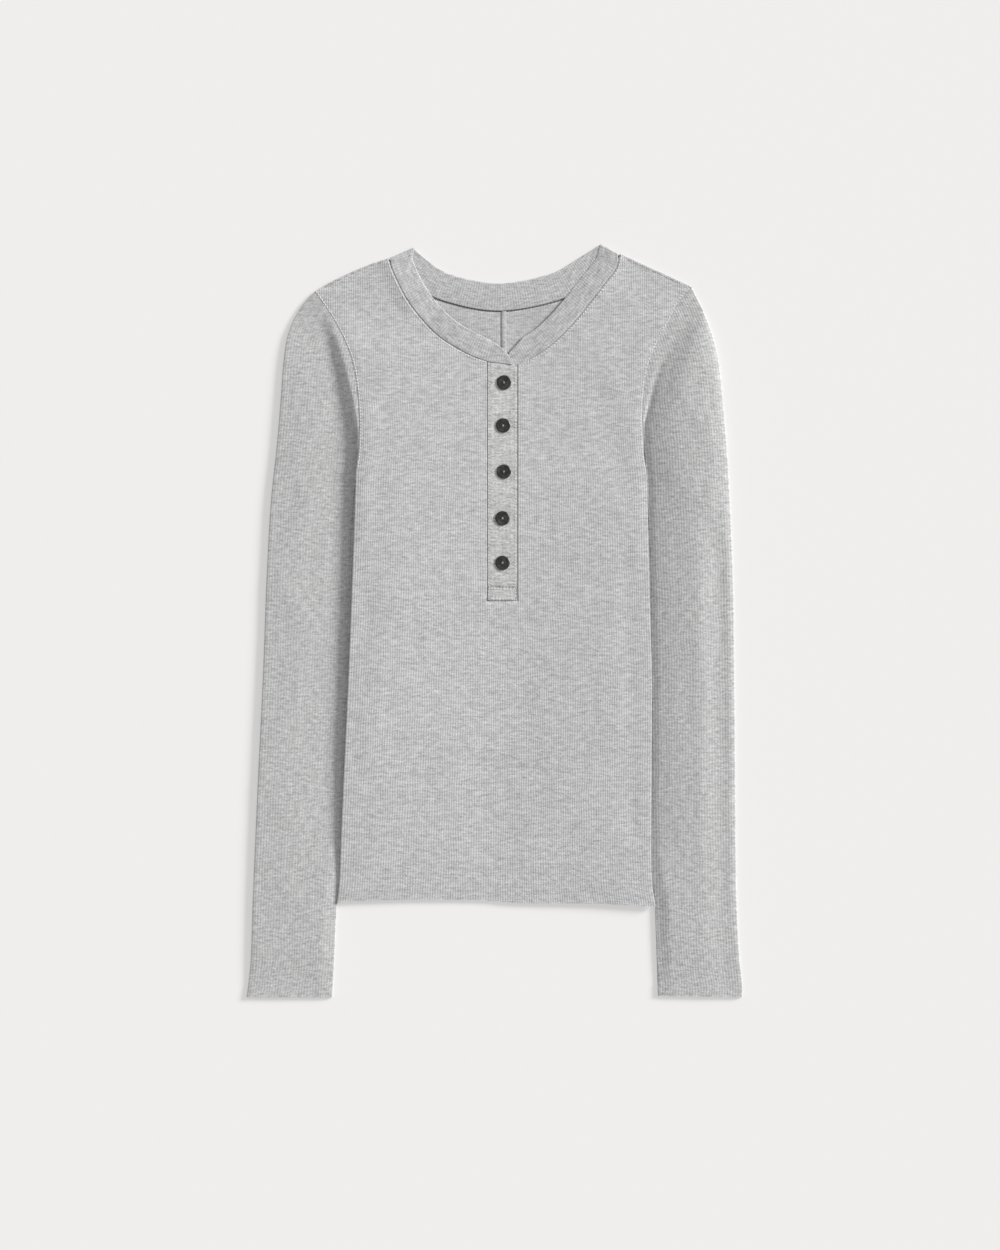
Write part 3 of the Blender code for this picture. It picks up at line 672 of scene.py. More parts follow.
def sleeve_height(side, plane, inset, beside, from_cuff):
    """Height of the upper face between its ribs."""
    x, y = plane[..., 0], plane[..., 1]
    in_cap = y > UNDERARM_Y
    from_arm = distance(side.armhole, plane)
    strip = np.interp(y, *np.array(CAP_STRIP[side.name]).T)
    clear = np.where(in_cap, from_arm - strip,      # of the body's edge or of the strip
                     (x - side.edge_x(np.maximum(y, side.hem_y))) * side.sign)
    held = smoothstep((y - side.hem_y - 5) / 75)    # by the body that lies over it
    slope = mix(*INNER_SLOPE[side.name], smoothstep((y - 120) / 110))
    climb = np.clip((clear - 2) / slope, 0, 1)
    climb = smoothstep(climb) if side.name == "left" else 1 - (1 - climb) ** 2
    rise = mix(smoothstep(beside / 14), climb, held)
    outer_rise = curve(OUTER_RISE[side.name])
    rise *= mix(ordinate(outer_rise, inset, 0, 1), ordinate(outer_rise, inset, 0, 2),
                smoothstep((y - 30) / 90))
    full = ordinate(np.array(SLEEVE_EDGE), y, 0, 3 + side.column)
    height = mix(PRESSED, full, rise)
    height += (creases(SLEEVE_CREASES[side.name], plane) + 0.1 * waves(x, y, 11, 52)) * rise
    height -= CREVICE[side.name] * held * near(clear, 8)
    height -= GROOVE[side.name] * (y > side.hem_y) * near(clear, 2.4)
    cap = PRESSED + edge_lift(side, y) * smoothstep((y - UNDERARM_Y) / 6)
    cap += CAP_STEP[side.name]
    cap_edge = smoothstep(clear / (1.2 + CAP_SOFT[side.name] * strip))
    height = np.where(in_cap, mix(np.maximum(cap, height), height, cap_edge), height)
    height -= CAP_ROLL[side.name] * in_cap * near(from_arm, 1.4)
    above_hem = smoothstep((from_cuff - CUFF_HEM) / 1.5)
    return height - CUFF_DIP * above_hem * near(from_cuff, CUFF_DIP_REACH)


def make_sleeve(side):
    plane, inset, beside, cuff_y = sleeve_grid(side)
    y = plane[..., 1]
    in_cap = y > UNDERARM_Y
    height = sleeve_height(side, plane, inset, beside, y - cuff_y)
    relief = ribs(plane.shape[1], SLEEVE_RISE)
    ridge = relief * smoothstep((inset - 0.6) / FOLD_FADE)
    ridge *= np.where(in_cap, 1.0, smoothstep((beside - 0.6) / FOLD_FADE))
    fold = np.minimum(inset / FOLD, np.where(in_cap, 1.0, beside / INNER_FOLD))
    bulge = np.sqrt(np.clip(1 - (1 - np.minimum(fold, 1)) ** 2, 0, 1))
    top = mix(PRESSED / 2, height + ridge, bulge)
    bottom = mix(PRESSED / 2, SLEEVE_RISE - relief, bulge)
    inward = side.sign * WALL * (near(beside, 3) * ~in_cap - near(inset, 3))
    inner_plane = plane + np.stack([inward, np.zeros_like(inward)], axis=-1)
    middle = top * 0.5 + bottom * 0.5
    ceiling = np.maximum(top - WALL, middle + HOLLOW * bulge)
    base = np.minimum(bottom + WALL, middle - HOLLOW * bulge)

    def wrap(upper, lower):
        """The upper face and then the lower one, back to where it began."""
        whole = np.concatenate([upper, lower[:, ::-1][:, 1:]], axis=1)
        whole[:, -1] = whole[:, 0]
        return whole
    return cloth(
        f"sleeve_{side.name}_cloth",
        wrap(np.dstack([plane, top]), np.dstack([plane, bottom])),
        wrap(*[knit_at(y.shape, inset / SLEEVE_PITCH, y, face) for face in (3, 4)]),
        inner=wrap(np.dstack([inner_plane, ceiling]), np.dstack([inner_plane, base])))


sleeves = {name: make_sleeve(side) for name, side in SIDES.items()}

# %% [markdown]
# ## The neckband
# The band is one strip of rib, folded lengthwise, whose ribs run across it. It starts at the
# top of the placket, goes up the front neckline, folds over at the neck point, and passes
# behind, where its other face shows. It is swept: at each station the strip has a seam point, a
# free point and a middle height, and its section is a flat loop with a round fold. In front it
# lies level with the cloth it is sewn to, and its two ends are rounded off at the placket.

# %% Stations of the neckband
BAND_WALL = 2.0
BAND_FRONT, BAND_BACK = 20.0, 24.2
BAND_LOW, BAND_HIGH = 1.55, 3.4
BAND_DEEP = 2.7         # the lowest that the front half gets
BAND_UNDER = 0.55       # its middle under the front's surface
BAND_END = {"left": 4.95, "right": 2.25}        # height of the two ends, left over right
LAP_CLIMB = {"left": (0.55, 0.75), "right": (0.6, 0.85)}
LAP_END = {
    # the rounded ends of the band at the placket: seam x, seam y, free x, free y
    "left": [(-8.0, 234.6, -3.8, 253.0), (-3.0, 233.6, 0.9, 250.2), (3.0, 232.9, 5.4, 246.8),
             (7.8, 232.4, 9.2, 243.1), (11.2, 232.0, 12.1, 239.4), (13.4, 231.8, 13.8, 235.6),
             (14.7, 231.6, 14.7, 232.4)],
    "right": [(26.5, 234.6, 18.8, 249.8), (20.0, 231.9, 14.3, 245.4), (13.0, 231.5, 10.8, 240.6),
              (6.0, 231.4, 6.5, 236.6), (-1.0, 231.3, 0.2, 233.8), (-6.0, 231.3, -5.4, 232.2)],
}
LAPPED = slice(3, -8)   # stations of the front neckline that the fold and the ends leave over
FOLDED = slice(10, None)                        # and those of the back neckline
FOLD_IN, FOLD_SHIFT = 1.5, 1.2                  # place of the fold at the neck point
NECK_PEAK = {"left": (-74.0, 337.6), "right": (94.4, 340.8)}
PLACKET_TOP = 231.0


def band_half(side):
    """Stations of one half: seam x, y, free x, y, height of the middle."""
    line = beside(side.front_neck, -side.sign * GAP)[LAPPED]
    free = beside(line, -side.sign * BAND_FRONT)
    lap = np.array(LAP_END[side.name])
    line, free = np.vstack([line, lap[:, :2]]), np.vstack([free, lap[:, 2:]])
    share = lengths(line) / lengths(line)[-1]
    climb, level = LAP_CLIMB[side.name]
    flush = np.maximum(front_surface(line) - BAND_UNDER, BAND_DEEP)
    height = mix(BAND_HIGH, flush, smoothstep(share / 0.25))
    height = mix(height, BAND_END[side.name], smoothstep((share - climb) / (level - climb)))
    front = np.column_stack([line, free, height])
    start, peak = side.front_neck[0], np.array(NECK_PEAK[side.name])
    axis = (peak - start) / np.linalg.norm(peak - start)
    out = np.array([axis[1], -axis[0]]) * side.sign
    radius = (BAND_HIGH - BAND_LOW) / 2
    angle = math.pi * steps(16)[:, None]
    shift = out * radius * np.sin(angle)
    fold = np.column_stack([start + axis * FOLD_SHIFT - out * FOLD_IN + shift,
                            peak - out * FOLD_IN + shift,
                            BAND_HIGH - radius * (1 - np.cos(angle))])
    line = beside(side.back_neck, -side.sign * GAP)[FOLDED]
    free = beside(line, -side.sign * BAND_BACK)
    back = np.column_stack([line, free, np.full(len(line), BAND_LOW)])
    return np.vstack([front[::-1], fold, back if side is LEFT else back[:-1]])


def soften(rows, rounds):
    """Evens out kinks between neighbouring stations, with the ends held."""
    rows = rows.copy()
    for _ in range(rounds):
        rows[1:-1] = rows[1:-1] * 0.5 + (rows[:-2] + rows[2:]) * 0.25
    return rows


# %% Neckband
BAND_PITCH = 2.25
BAND_RISE = 0.14
BAND_TILT = 1.5         # how far the band's free edge sinks into the neck
FACE_UP_FROM = 1.8      # a middle higher than this belongs to the front half
END_FROM = 3.7          # and one higher than this to the lapped left end, which stays level
BAND_SECTION = [
    # share of the width from the seam, mm more, height in half walls, share of the rib's rise,
    # and how much lower it is in front
    (0.0, 0.0, -0.86, 0.0, 0.0), (0.0, 0.0, 0.74, 0.0, 0.0), (0.0, 0.35, 0.97, 0.3, 0.0),
    (0.06, 0.0, 1.0, 0.8, 0.0), (0.16, 0.0, 1.0, 1.0, 0.0), (0.5, 0.0, 1.02, 1.0, 0.0),
    (0.8, 0.0, 1.0, 1.0, 0.0), (1.0, -0.8, 0.94, 0.9, 0.0), (1.0, -0.45, 0.93, 0.9, 0.05),
    (1.0, -0.08, 0.7, 0.8, 0.1), (1.0, 0.0, 0.0, 0.5, 0.0), (1.0, -0.3, -0.7, 0.8, 0.0),
    (1.0, -1.2, -1.06, 0.9, 0.0), (1.0, -2.2, -0.9, 0.9, 0.0), (0.8, 0.0, -1.0, 1.0, 0.0),
    (0.5, 0.0, -1.02, 1.0, 0.0), (0.16, 0.0, -1.0, 1.0, 0.0), (0.08, 0.0, -0.93, 0.5, 0.0),
    (0.0, 0.7, -1.0, 0.3, 0.0), (0.0, 0.0, -0.86, 0.0, 0.0),
]
strip = np.vstack([band_half(LEFT), band_half(RIGHT)[::-1]])
middle = np.column_stack([(strip[:, :2] + strip[:, 2:4]) / 2, strip[:, 4]])
run = lengths(middle)
count = round(run[-1] / BAND_PITCH) * COLUMNS
strip = soften(sample(strip, np.linspace(0, lengths(strip)[-1], count + 1)), 6)
faces_up = smoothstep(strip[:, 4] - FACE_UP_FROM)
tilt = BAND_TILT * faces_up * near(strip[:, 4] - END_FROM, 0.4)
tilt = np.minimum(tilt, np.maximum(strip[:, 4] - 2.2, 0.0))
seam = np.column_stack([strip[:, :2], strip[:, 4] - 0.1 * tilt])
free = np.column_stack([strip[:, 2:4], strip[:, 4] - 1.1 * tilt])
across = free - seam
width = np.linalg.norm(across, axis=1)
across /= width[:, None]
onward = np.gradient((seam + free) / 2, axis=0)
up = np.cross(onward, across)
up /= np.linalg.norm(up, axis=1)[:, None]
up *= np.sign(up[0, 2])
share, extra, lifted, ribbed, lower = np.array(BAND_SECTION).T
lifted = lifted * (1 - faces_up[:, None] * lower)
reach = share * width[:, None] + extra * np.minimum(width / 10, 1)[:, None]
thick = BAND_WALL / 2 - BAND_RISE * 0.6
relief = ribs(count + 1, BAND_RISE)[:, None] * ribbed * np.sign(lifted)
outline = (seam[:, None] + reach[..., None] * across[:, None]
           + (lifted * thick + relief)[..., None] * up[:, None])
outline[..., 2] = np.maximum(outline[..., 2], 0.05)
knit = knit_at(outline.shape[:2], (np.arange(count + 1) / COLUMNS)[:, None],
               reach, np.where(lifted >= 0, 5.0, 5.5))
neckband = cloth("neckband_cloth", outline, knit)
print(count // COLUMNS, "ribs round the band,", round(run[-1]), "mm long")

# %% [markdown]
# ## The placket
# Two folded strips lie in the slot, one on the other: the upper one has the buttonholes and the
# lower one the buttons. Their knit is finer and smoother than the body's. The section is a loop
# once more, so both long edges are round. The upper strip's face is level with the front on
# both sides, and it ends aslant, along the neckband. Its stitches pull it in, and so do the
# buttons.

# %% Placket strips
PLACKET_LEFT, PLACKET_RIGHT, PLACKET_FOOT = -7.6, 19.4, 19.7
BUTTONS = [
    # x, y, turn in degrees
    (7.4, 215.6, 62.0), (6.6, 176.9, 8.0), (7.3, 135.5, 38.0), (6.1, 93.6, 80.0),
    (6.1, 53.6, 24.0),
]
FINE_PITCH = 1.23
FINE_RISE = 0.12
BOX_LOW, BOX_TOP = PLACKET_FOOT + 1.6, 30.6     # lines of the stitched box at the foot
STITCH_LEFT, STITCH_RIGHT = PLACKET_LEFT + 2.1, PLACKET_RIGHT - 2.1
PROUD = {"left": 0.3, "right": 0.1}     # how far it stands over the front, at its two edges
SLANT = {"left": 3.0, "right": 0.4}     # how far its upper corners reach past PLACKET_TOP
STITCH_DIP, BOX_DIP, BUTTON_DIP = 0.22, 0.75, 0.35      # how deep sewing pulls the face in
PLACKET_ROWS = [
    # from y, to y, number: close together where the face bends
    (PLACKET_FOOT, 22.7, 11), (24.0, 29.0, 4), (29.5, 31.7, 8), (33.0, 230.2, 140),
    (230.7, PLACKET_TOP, 2),
]


def placket_share(x):
    return (x - PLACKET_LEFT) / (PLACKET_RIGHT - PLACKET_LEFT)


def placket_level(points):
    """Height of the placket's face, level with the front on both sides."""
    x, y = points[..., 0], points[..., 1]
    left, right = (front_surface(np.stack([np.full(y.shape, edge), y], axis=-1))
                   for edge in (SLOT_LEFT - 2.0, SLOT_RIGHT + 2.0))
    return mix(left + PROUD["left"], right + PROUD["right"], placket_share(x))


def placket(name, low, top=None):
    """A folded strip from its lower height to its top; without a top it is the upper one."""
    is_upper = top is None
    count = round((PLACKET_RIGHT - PLACKET_LEFT) / FINE_PITCH) * COLUMNS
    x, y = np.meshgrid(np.linspace(PLACKET_LEFT, PLACKET_RIGHT, count + 1),
                       np.concatenate([np.linspace(*rows) for rows in PLACKET_ROWS]))
    border = np.minimum(np.minimum(x - PLACKET_LEFT, PLACKET_RIGHT - x),
                        np.minimum(y - PLACKET_FOOT, PLACKET_TOP - y))
    edge = np.sqrt(np.clip(1 - (1 - np.clip(border / 0.5, 0, 1)) ** 2, 0, 1))
    top = placket_level(np.dstack([x, y])) if is_upper else top
    middle = (low + top) / 2
    face = top - FINE_RISE + ribs(count + 1, FINE_RISE)
    if is_upper:
        for line in (STITCH_LEFT, STITCH_RIGHT):
            face = face - STITCH_DIP * np.exp(-((x - line) / 0.55) ** 2)
        face = face - BOX_DIP * np.exp(-((y - BOX_TOP - 1.0) / 0.7) ** 2)
        face = face + 0.1 * waves(x, y, 21, 17)
        for button_x, button_y, _ in BUTTONS:
            face = face - BUTTON_DIP * near(np.hypot(x - button_x, y - button_y) - 5, 9)
    # the upper end runs aslant, along the neckband
    slant = mix(SLANT["left"], SLANT["right"], placket_share(x))
    y = y + slant * smoothstep((y - PLACKET_TOP + 9.0) / 9.0)
    upper = np.dstack([x, y, mix(middle, face, edge)])
    lower = np.dstack([x, y, mix(middle, low, edge)])[:, ::-1]
    outline = np.concatenate([upper, lower[:, 1:]], axis=1)
    outline[:, -1] = outline[:, 0]
    knit = knit_at(x.shape, (x - PLACKET_LEFT) / FINE_PITCH, y, 6)
    knit = np.concatenate([knit, knit[:, ::-1][:, 1:] + [0, 0, 0.5]], axis=1)
    return cloth(name, outline, knit)


placket_upper = placket("placket_upper_cloth", 3.2)
placket_under = placket("placket_under_cloth", 1.5, top=3.0)

# %% [markdown]
# ## Stitches
# Sewing shows as rows of short, plump threads. A texture would smear at their ends, so each
# stitch is a tiny stretched ball, set along a line and a little sunk in the cloth. All stitches
# of a seam are one mesh. Where the threads overlap, as in the overlock round the back neck, the
# pause between two stitches is less than nothing, and the row becomes a cord.

# %% Stitch rows
def add_stitch(bm, start, end, z0, z1, thickness):
    """One stitch from start to end, a stretched ball of twenty faces."""
    a, b = Vector((*start, z0)), Vector((*end, z1))
    way = b - a
    turn = way.to_track_quat("X", "Z").to_matrix().to_4x4()
    size = Matrix.Diagonal((way.length, thickness, thickness * 0.75, 1.0))
    bmesh.ops.create_icosphere(bm, subdivisions=1, radius=0.5,
                               matrix=Matrix.Translation((a + b) / 2) @ turn @ size)


def stitch_row(bm, line, height, length=2.5, pause=0.25, thickness=0.85):
    """Stitches along a line; height is a number or a function of plane points."""
    total = lengths(line)[-1]
    count = max(int(total / (length + pause)), 1)
    starts = (np.arange(count) + 0.12) * total / count
    a, b = sample(line, starts), sample(line, starts + length)
    if callable(height):
        z0, z1 = height(a), height(b)
    else:
        z0 = z1 = np.full(count, height)
    for start, end, low, high in zip(a + SHIFT, b + SHIFT, z0, z1):
        add_stitch(bm, start, end, low, high, thickness)


def sewing(name, rows):
    bm = bmesh.new()
    for row in rows:
        stitch_row(bm, **row)
    return place_mesh(bm, name, angle=180)


def on_front(points):
    return front_surface(points) + RIB_RISE * 0.8


def above_front(points):
    return on_front(points) + 0.15


def in_front(points):
    return front_surface(points) + RIB_RISE * 0.3


def on_placket(points):
    return placket_level(points) - 0.06


# %% Seams of the front
HEM_DEPTH = 18.0
left_neck, right_neck = LEFT.front_neck, RIGHT.front_neck
hem_stitch = HEM_LINE + [0.0, HEM_DEPTH]
hem_stitch[0, 0] += 2.5
hem_stitch[-1, 0] -= 2.5
slot_lines = [np.array([(x, BOX_TOP), (x, 229.5)]) for x in (STITCH_LEFT, STITCH_RIGHT)]
box = np.array([(STITCH_LEFT, BOX_TOP), (STITCH_RIGHT, BOX_TOP), (STITCH_RIGHT, BOX_LOW),
                (STITCH_LEFT, BOX_LOW), (STITCH_LEFT, BOX_TOP)])
box = np.vstack([np.linspace(a, b, 20)[:-1] for a, b in zip(box, box[1:])] + [box[-1:]])
# a grey cord a little outside the stitched box: painted shade along the box's stitching
box_centre = box.mean(axis=0)
box_shade_outline = (box - box_centre) * [1.12, 1.3] + box_centre
seam_rows = {
    "neck_stitches": [
        dict(line=beside(left_neck, -1.5), height=on_front, thickness=0.75),
        dict(line=beside(right_neck, 1.5), height=above_front)],
    "hem_stitches": [
        dict(line=hem_stitch + [0.0, up], height=in_front, thickness=0.45) for up in (0.0, 3.0)],
    "placket_stitches": [dict(line=line, height=on_placket) for line in (*slot_lines, box)],
    # painted shade: a grey cord round the placket's box
    "placket_box_painted_shade": [
        dict(line=box_shade_outline, height=on_placket, length=3.0, pause=0.0, thickness=0.6)],
    # a near-black cord: the overlock binding, whose dark colour is also the painted shadow under
    # the back band
    "back_neck_overlock_and_shadow": [
        dict(line=beside(neck_edge, -0.6), height=0.9, length=5.0, pause=-1.7, thickness=1.5)],
    "shoulder_stitches": [
        dict(line=beside(side.shoulder, side.sign * 1.8)[4:-2], height=on_front, length=6.0,
             pause=0.0, thickness=0.6) for side in SIDES.values()],
}
seams = {name: sewing(name, rows) for name, rows in seam_rows.items()}
arm_look = {"left": dict(height=above_front, thickness=1.05),
            "right": dict(height=on_front, thickness=0.8)}
arm_rows = {}
for name, side in SIDES.items():
    arm = side.armhole[side.armhole[:, 1] > UNDERARM_Y + 2]
    arm_rows[name] = sewing(f"armhole_{name}_stitches", [
        dict(line=beside(arm, side.sign * 1.5), **arm_look[name])])

# %% [markdown]
# ## Buttons
# A horn button is turned on a lathe and then drilled, so that is how it is made here: a profile
# is spun round its axis, and four holes are cut with a Boolean. The thread crosses between the
# holes. Each button is turned a little differently, as a hand leaves them.

# %% Button and its thread
BUTTON_SINK = 0.38      # how far a button presses into the placket
BUTTON_ANGLE = 35       # edges sharper than this stay sharp, in degrees
BUTTON_PROFILE = [
    # radius, height over the seat
    (0.0, 0.0), (5.2, 0.0), (5.9, 0.2), (6.35, 0.6), (6.5, 0.95), (6.42, 1.3), (6.1, 1.55),
    (5.6, 1.66), (5.1, 1.63), (4.7, 1.53), (4.3, 1.38), (3.9, 1.28), (3.2, 1.22), (0.0, 1.18),
]
SPIN_STEPS = 56
HOLE_RADIUS, HOLE_REACH = 0.62, 1.35
THREAD_Z, THREAD_THICK = 1.4, 0.42


def spun_button():
    bm = bmesh.new()
    verts = [bm.verts.new((radius, 0, z)) for radius, z in BUTTON_PROFILE]
    edges = [bm.edges.new(pair) for pair in zip(verts, verts[1:])]
    bmesh.ops.spin(bm, geom=verts + edges, cent=(0, 0, 0), axis=(0, 0, 1), angle=math.tau,
                   steps=SPIN_STEPS, use_merge=True)
    bmesh.ops.remove_doubles(bm, verts=bm.verts, dist=0.001)
    bmesh.ops.recalc_face_normals(bm, faces=bm.faces)
    blank = place_mesh(bm, "button_blank", unit=1.0)
    bm = bmesh.new()
    for corner in range(4):
        angle = math.tau * (corner + 0.5) / 4
        at = Vector((math.cos(angle), math.sin(angle), 0)) * HOLE_REACH
        bmesh.ops.create_cone(bm, cap_ends=True, segments=14, radius1=HOLE_RADIUS,
                              radius2=HOLE_RADIUS * 1.15, depth=5.0,
                              matrix=Matrix.Translation(at + Vector((0, 0, 1.0))))
    drill = place_mesh(bm, "button_drill", unit=1.0)
    cut = blank.modifiers.new("holes", "BOOLEAN")
    cut.operation, cut.solver, cut.object = "DIFFERENCE", "EXACT", drill
    shape = bpy.data.meshes.new_from_object(blank.evaluated_get(
        bpy.context.evaluated_depsgraph_get()))
    for spare in (blank, drill):
        bpy.data.objects.remove(spare, do_unlink=True)
    return shape


def move_mesh(shape, name, x, y, turn):
    """A copy of a mesh in its place, with the object itself at the origin."""
    mesh = shape.copy()
    mesh.name = name
    seat = float(placket_level(np.array([x, y]))) - BUTTON_SINK
    mesh.transform(Matrix.Scale(MM, 4) @ Matrix.Translation((x + SHIFT[0], y + SHIFT[1], seat))
                   @ Matrix.Rotation(math.radians(turn), 4, "Z"))
    mesh.shade_smooth()
    mesh.set_sharp_from_angle(angle=math.radians(BUTTON_ANGLE))
    return link_object(name, mesh)


def thread_shape():
    """Two crossings of three threads, over the dish from hole to hole."""
    bm = bmesh.new()
    for way in (1, -1):
        for strand in (-0.3, 0.0, 0.3):
            reach = HOLE_REACH * 0.72
            middle = np.array([strand * -way, strand]) * 0.7
            a, b = middle - [reach, reach * way], middle + [reach, reach * way]
            level = THREAD_Z + 0.12 * way       # one crossing lies over the other
            add_stitch(bm, a, b, level, level, THREAD_THICK)
    return place_mesh(bm, "thread_cross", unit=1.0)


button_shape = spun_button()
crossing = thread_shape()
buttons, threads = [], []
for number, (x, y, turn) in enumerate(BUTTONS, 1):
    buttons.append(move_mesh(button_shape, f"button_{number}_horn", x, y, turn))
    threads.append(move_mesh(crossing.data, f"button_{number}_thread", x, y, turn))
bpy.data.objects.remove(crossing, do_unlink=True)
print(len(buttons), "buttons of", len(button_shape.polygons), "faces")

# %% [markdown]
# ## Buttonholes
# Each buttonhole lies crossways and a little to the left of its button, since a button slides
# to the end of its hole. It is a slit, edged all round with tight stitches, and a near-black
# sheet sunk in the slit is painted shade for its inside.

# %% Buttonholes
SLIT_SHIFT = 1.3                # how far a slit's middle lies to the left of its button
SLIT_HALF = (8.2, 0.8)          # half its length and half its width
SLIT_RIM = (1.06, 2.4)          # the stitched rim, in sizes of the slit
SLIT_SINK, RIM_SINK = 0.3, (0.24, 0.28)         # under the placket's face


def buttonholes():
    """Short stitches all round each slit, from its edge outwards."""
    angle = np.linspace(0, math.tau, 61)[:-1]
    loop = np.stack([np.cos(angle), np.sin(angle)], axis=1) * SLIT_HALF
    bm = bmesh.new()
    for x, y, _ in BUTTONS:
        edge, rim = loop + [x - SLIT_SHIFT, y], loop * SLIT_RIM + [x - SLIT_SHIFT, y]
        for a, b, z in zip(edge + SHIFT, rim + SHIFT, placket_level(edge)):
            add_stitch(bm, a, b, z - RIM_SINK[0], z - RIM_SINK[1], 0.5)
    return place_mesh(bm, "buttonhole_stitches", angle=180)


# near-black sheets sunk in the slits: the painted shade inside each cut
def slits():
    bm = bmesh.new()
    size = Matrix.Diagonal((16.2, 1.4, 0.3, 1.0))       # a little less than the rim's loop
    for x, y, _ in BUTTONS:
        level = float(placket_level(np.array([x - SLIT_SHIFT, y])))
        place = Matrix.Translation((x - SLIT_SHIFT + SHIFT[0], y + SHIFT[1], level - SLIT_SINK))
        bmesh.ops.create_uvsphere(bm, u_segments=24, v_segments=8, radius=0.5,
                                  matrix=place @ size)
    return place_mesh(bm, "buttonhole_slit_painted_shade")


seams["buttonhole_stitches"] = buttonholes()
slit = slits()

# %% [markdown]
# ## The seam inside the back
# Where the two back panels meet, their allowances are pressed to the right and show inside the
# neck as a narrow double strip. It is a folded strip like the placket, only narrower, and it
# stops at the neckband.

# %% Back seam allowance
ALLOWANCE_LOW, ALLOWANCE_HIGH = 236.0, 280.0
ALLOWANCE_WIDTH, ALLOWANCE_THICK = 3.6, 0.8
ALLOWANCE_SHIFT, ALLOWANCE_Z = 3.1, 1.5         # its middle, from the seam and over the floor


def seam_allowance():
    bm = bmesh.new()
    place = bm.verts.layers.float_vector.new("knit")
    bmesh.ops.create_cube(bm, size=1.0)
    bmesh.ops.scale(bm, vec=(ALLOWANCE_WIDTH, ALLOWANCE_HIGH - ALLOWANCE_LOW, ALLOWANCE_THICK),
                    verts=bm.verts)
    bmesh.ops.translate(bm, verts=bm.verts, vec=(
        BACK_SEAM_X + ALLOWANCE_SHIFT + SHIFT[0], (ALLOWANCE_LOW + ALLOWANCE_HIGH) / 2 + SHIFT[1],
        ALLOWANCE_Z))
    bmesh.ops.bevel(bm, geom=bm.edges[:], offset=0.39, offset_type="OFFSET", segments=4,
                    profile=0.5, affect="EDGES", material=-1)
    for vert in bm.verts:
        vert[place] = (vert.co.x / PITCH, vert.co.y, 2.0)
    return place_mesh(bm, "back_seam_allowance")


allowance = seam_allowance()

# %% [markdown]
# ## Node maths as Python
# A material is a small program, and it reads best as one. The class below wraps a socket and
# turns each operator into a Math node. Any other node comes from one method, which takes the
# node's type, its settings and what goes into its sockets.

# %% Node helpers
class Wire:
    """A value in a material's node tree."""

    def __init__(self, tree, socket):
        self.tree, self.socket = tree, socket

    def maths(self, operation, *values):
        return add_node(self.tree, "ShaderNodeMath", {"operation": operation},
                        dict(enumerate(values)))

    def __add__(self, other):
        return self.maths("ADD", self, other)

    def __sub__(self, other):
        return self.maths("SUBTRACT", self, other)

    def __rsub__(self, other):
        return self.maths("SUBTRACT", other, self)

    def __mul__(self, other):
        return self.maths("MULTIPLY", self, other)

    def __truediv__(self, other):
        return self.maths("DIVIDE", self, other)

    __radd__, __rmul__ = __add__, __mul__

    def smooth(self, low, high):
        """0 below low and 1 above high, with a soft rise between."""
        return add_node(self.tree, "ShaderNodeMapRange", {"interpolation_type": "SMOOTHSTEP"},
                        {0: self, 1: low, 2: high})


def add_node(tree, kind, settings=None, inputs=None, output=0):
    node = tree.nodes.new(kind)
    for key, value in (settings or {}).items():
        setattr(node, key, value)
    for key, value in (inputs or {}).items():
        if isinstance(value, Wire):
            tree.links.new(value.socket, node.inputs[key])
        else:
            node.inputs[key].default_value = value
    return Wire(tree, node.outputs[output])


def new_material(name, **constants):
    """A material, its tree and its Principled shader, with constants set on the sockets."""
    material = bpy.data.materials.new(name)
    material.use_nodes = True
    shader = material.node_tree.nodes["Principled BSDF"]
    for key, value in constants.items():
        shader.inputs[key.replace("_", " ")].default_value = value
    return material, material.node_tree, shader


def noise(tree, place, scale, detail=2.0, roughness=0.5, distortion=0.0):
    return add_node(tree, "ShaderNodeTexNoise", {"noise_dimensions": "3D"}, {
        "Vector": place, "Scale": scale, "Detail": detail, "Roughness": roughness,
        "Distortion": distortion})


def bump(tree, height, strength, depth):
    """A normal from a height, whose full range is so many mm deep."""
    return add_node(tree, "ShaderNodeBump", inputs={
        "Height": height, "Strength": strength, "Distance": depth * MM})


def feed(tree, shader, **wires):
    for key, wire in wires.items():
        tree.links.new(wire.socket, shader.inputs[key.replace("_", " ")])


# %% [markdown]
# ## Heather rib knit
# The yarn is spun from pale and dark fibres, so each course of stitches is a little lighter or
# darker for a few millimetres and then changes. That gives short cross-streaks over the long
# ribs. The grooves are darker than the ridges, because light hardly gets in. All of it reads
# the place in the knit that each point carries, so the streaks follow the cloth.

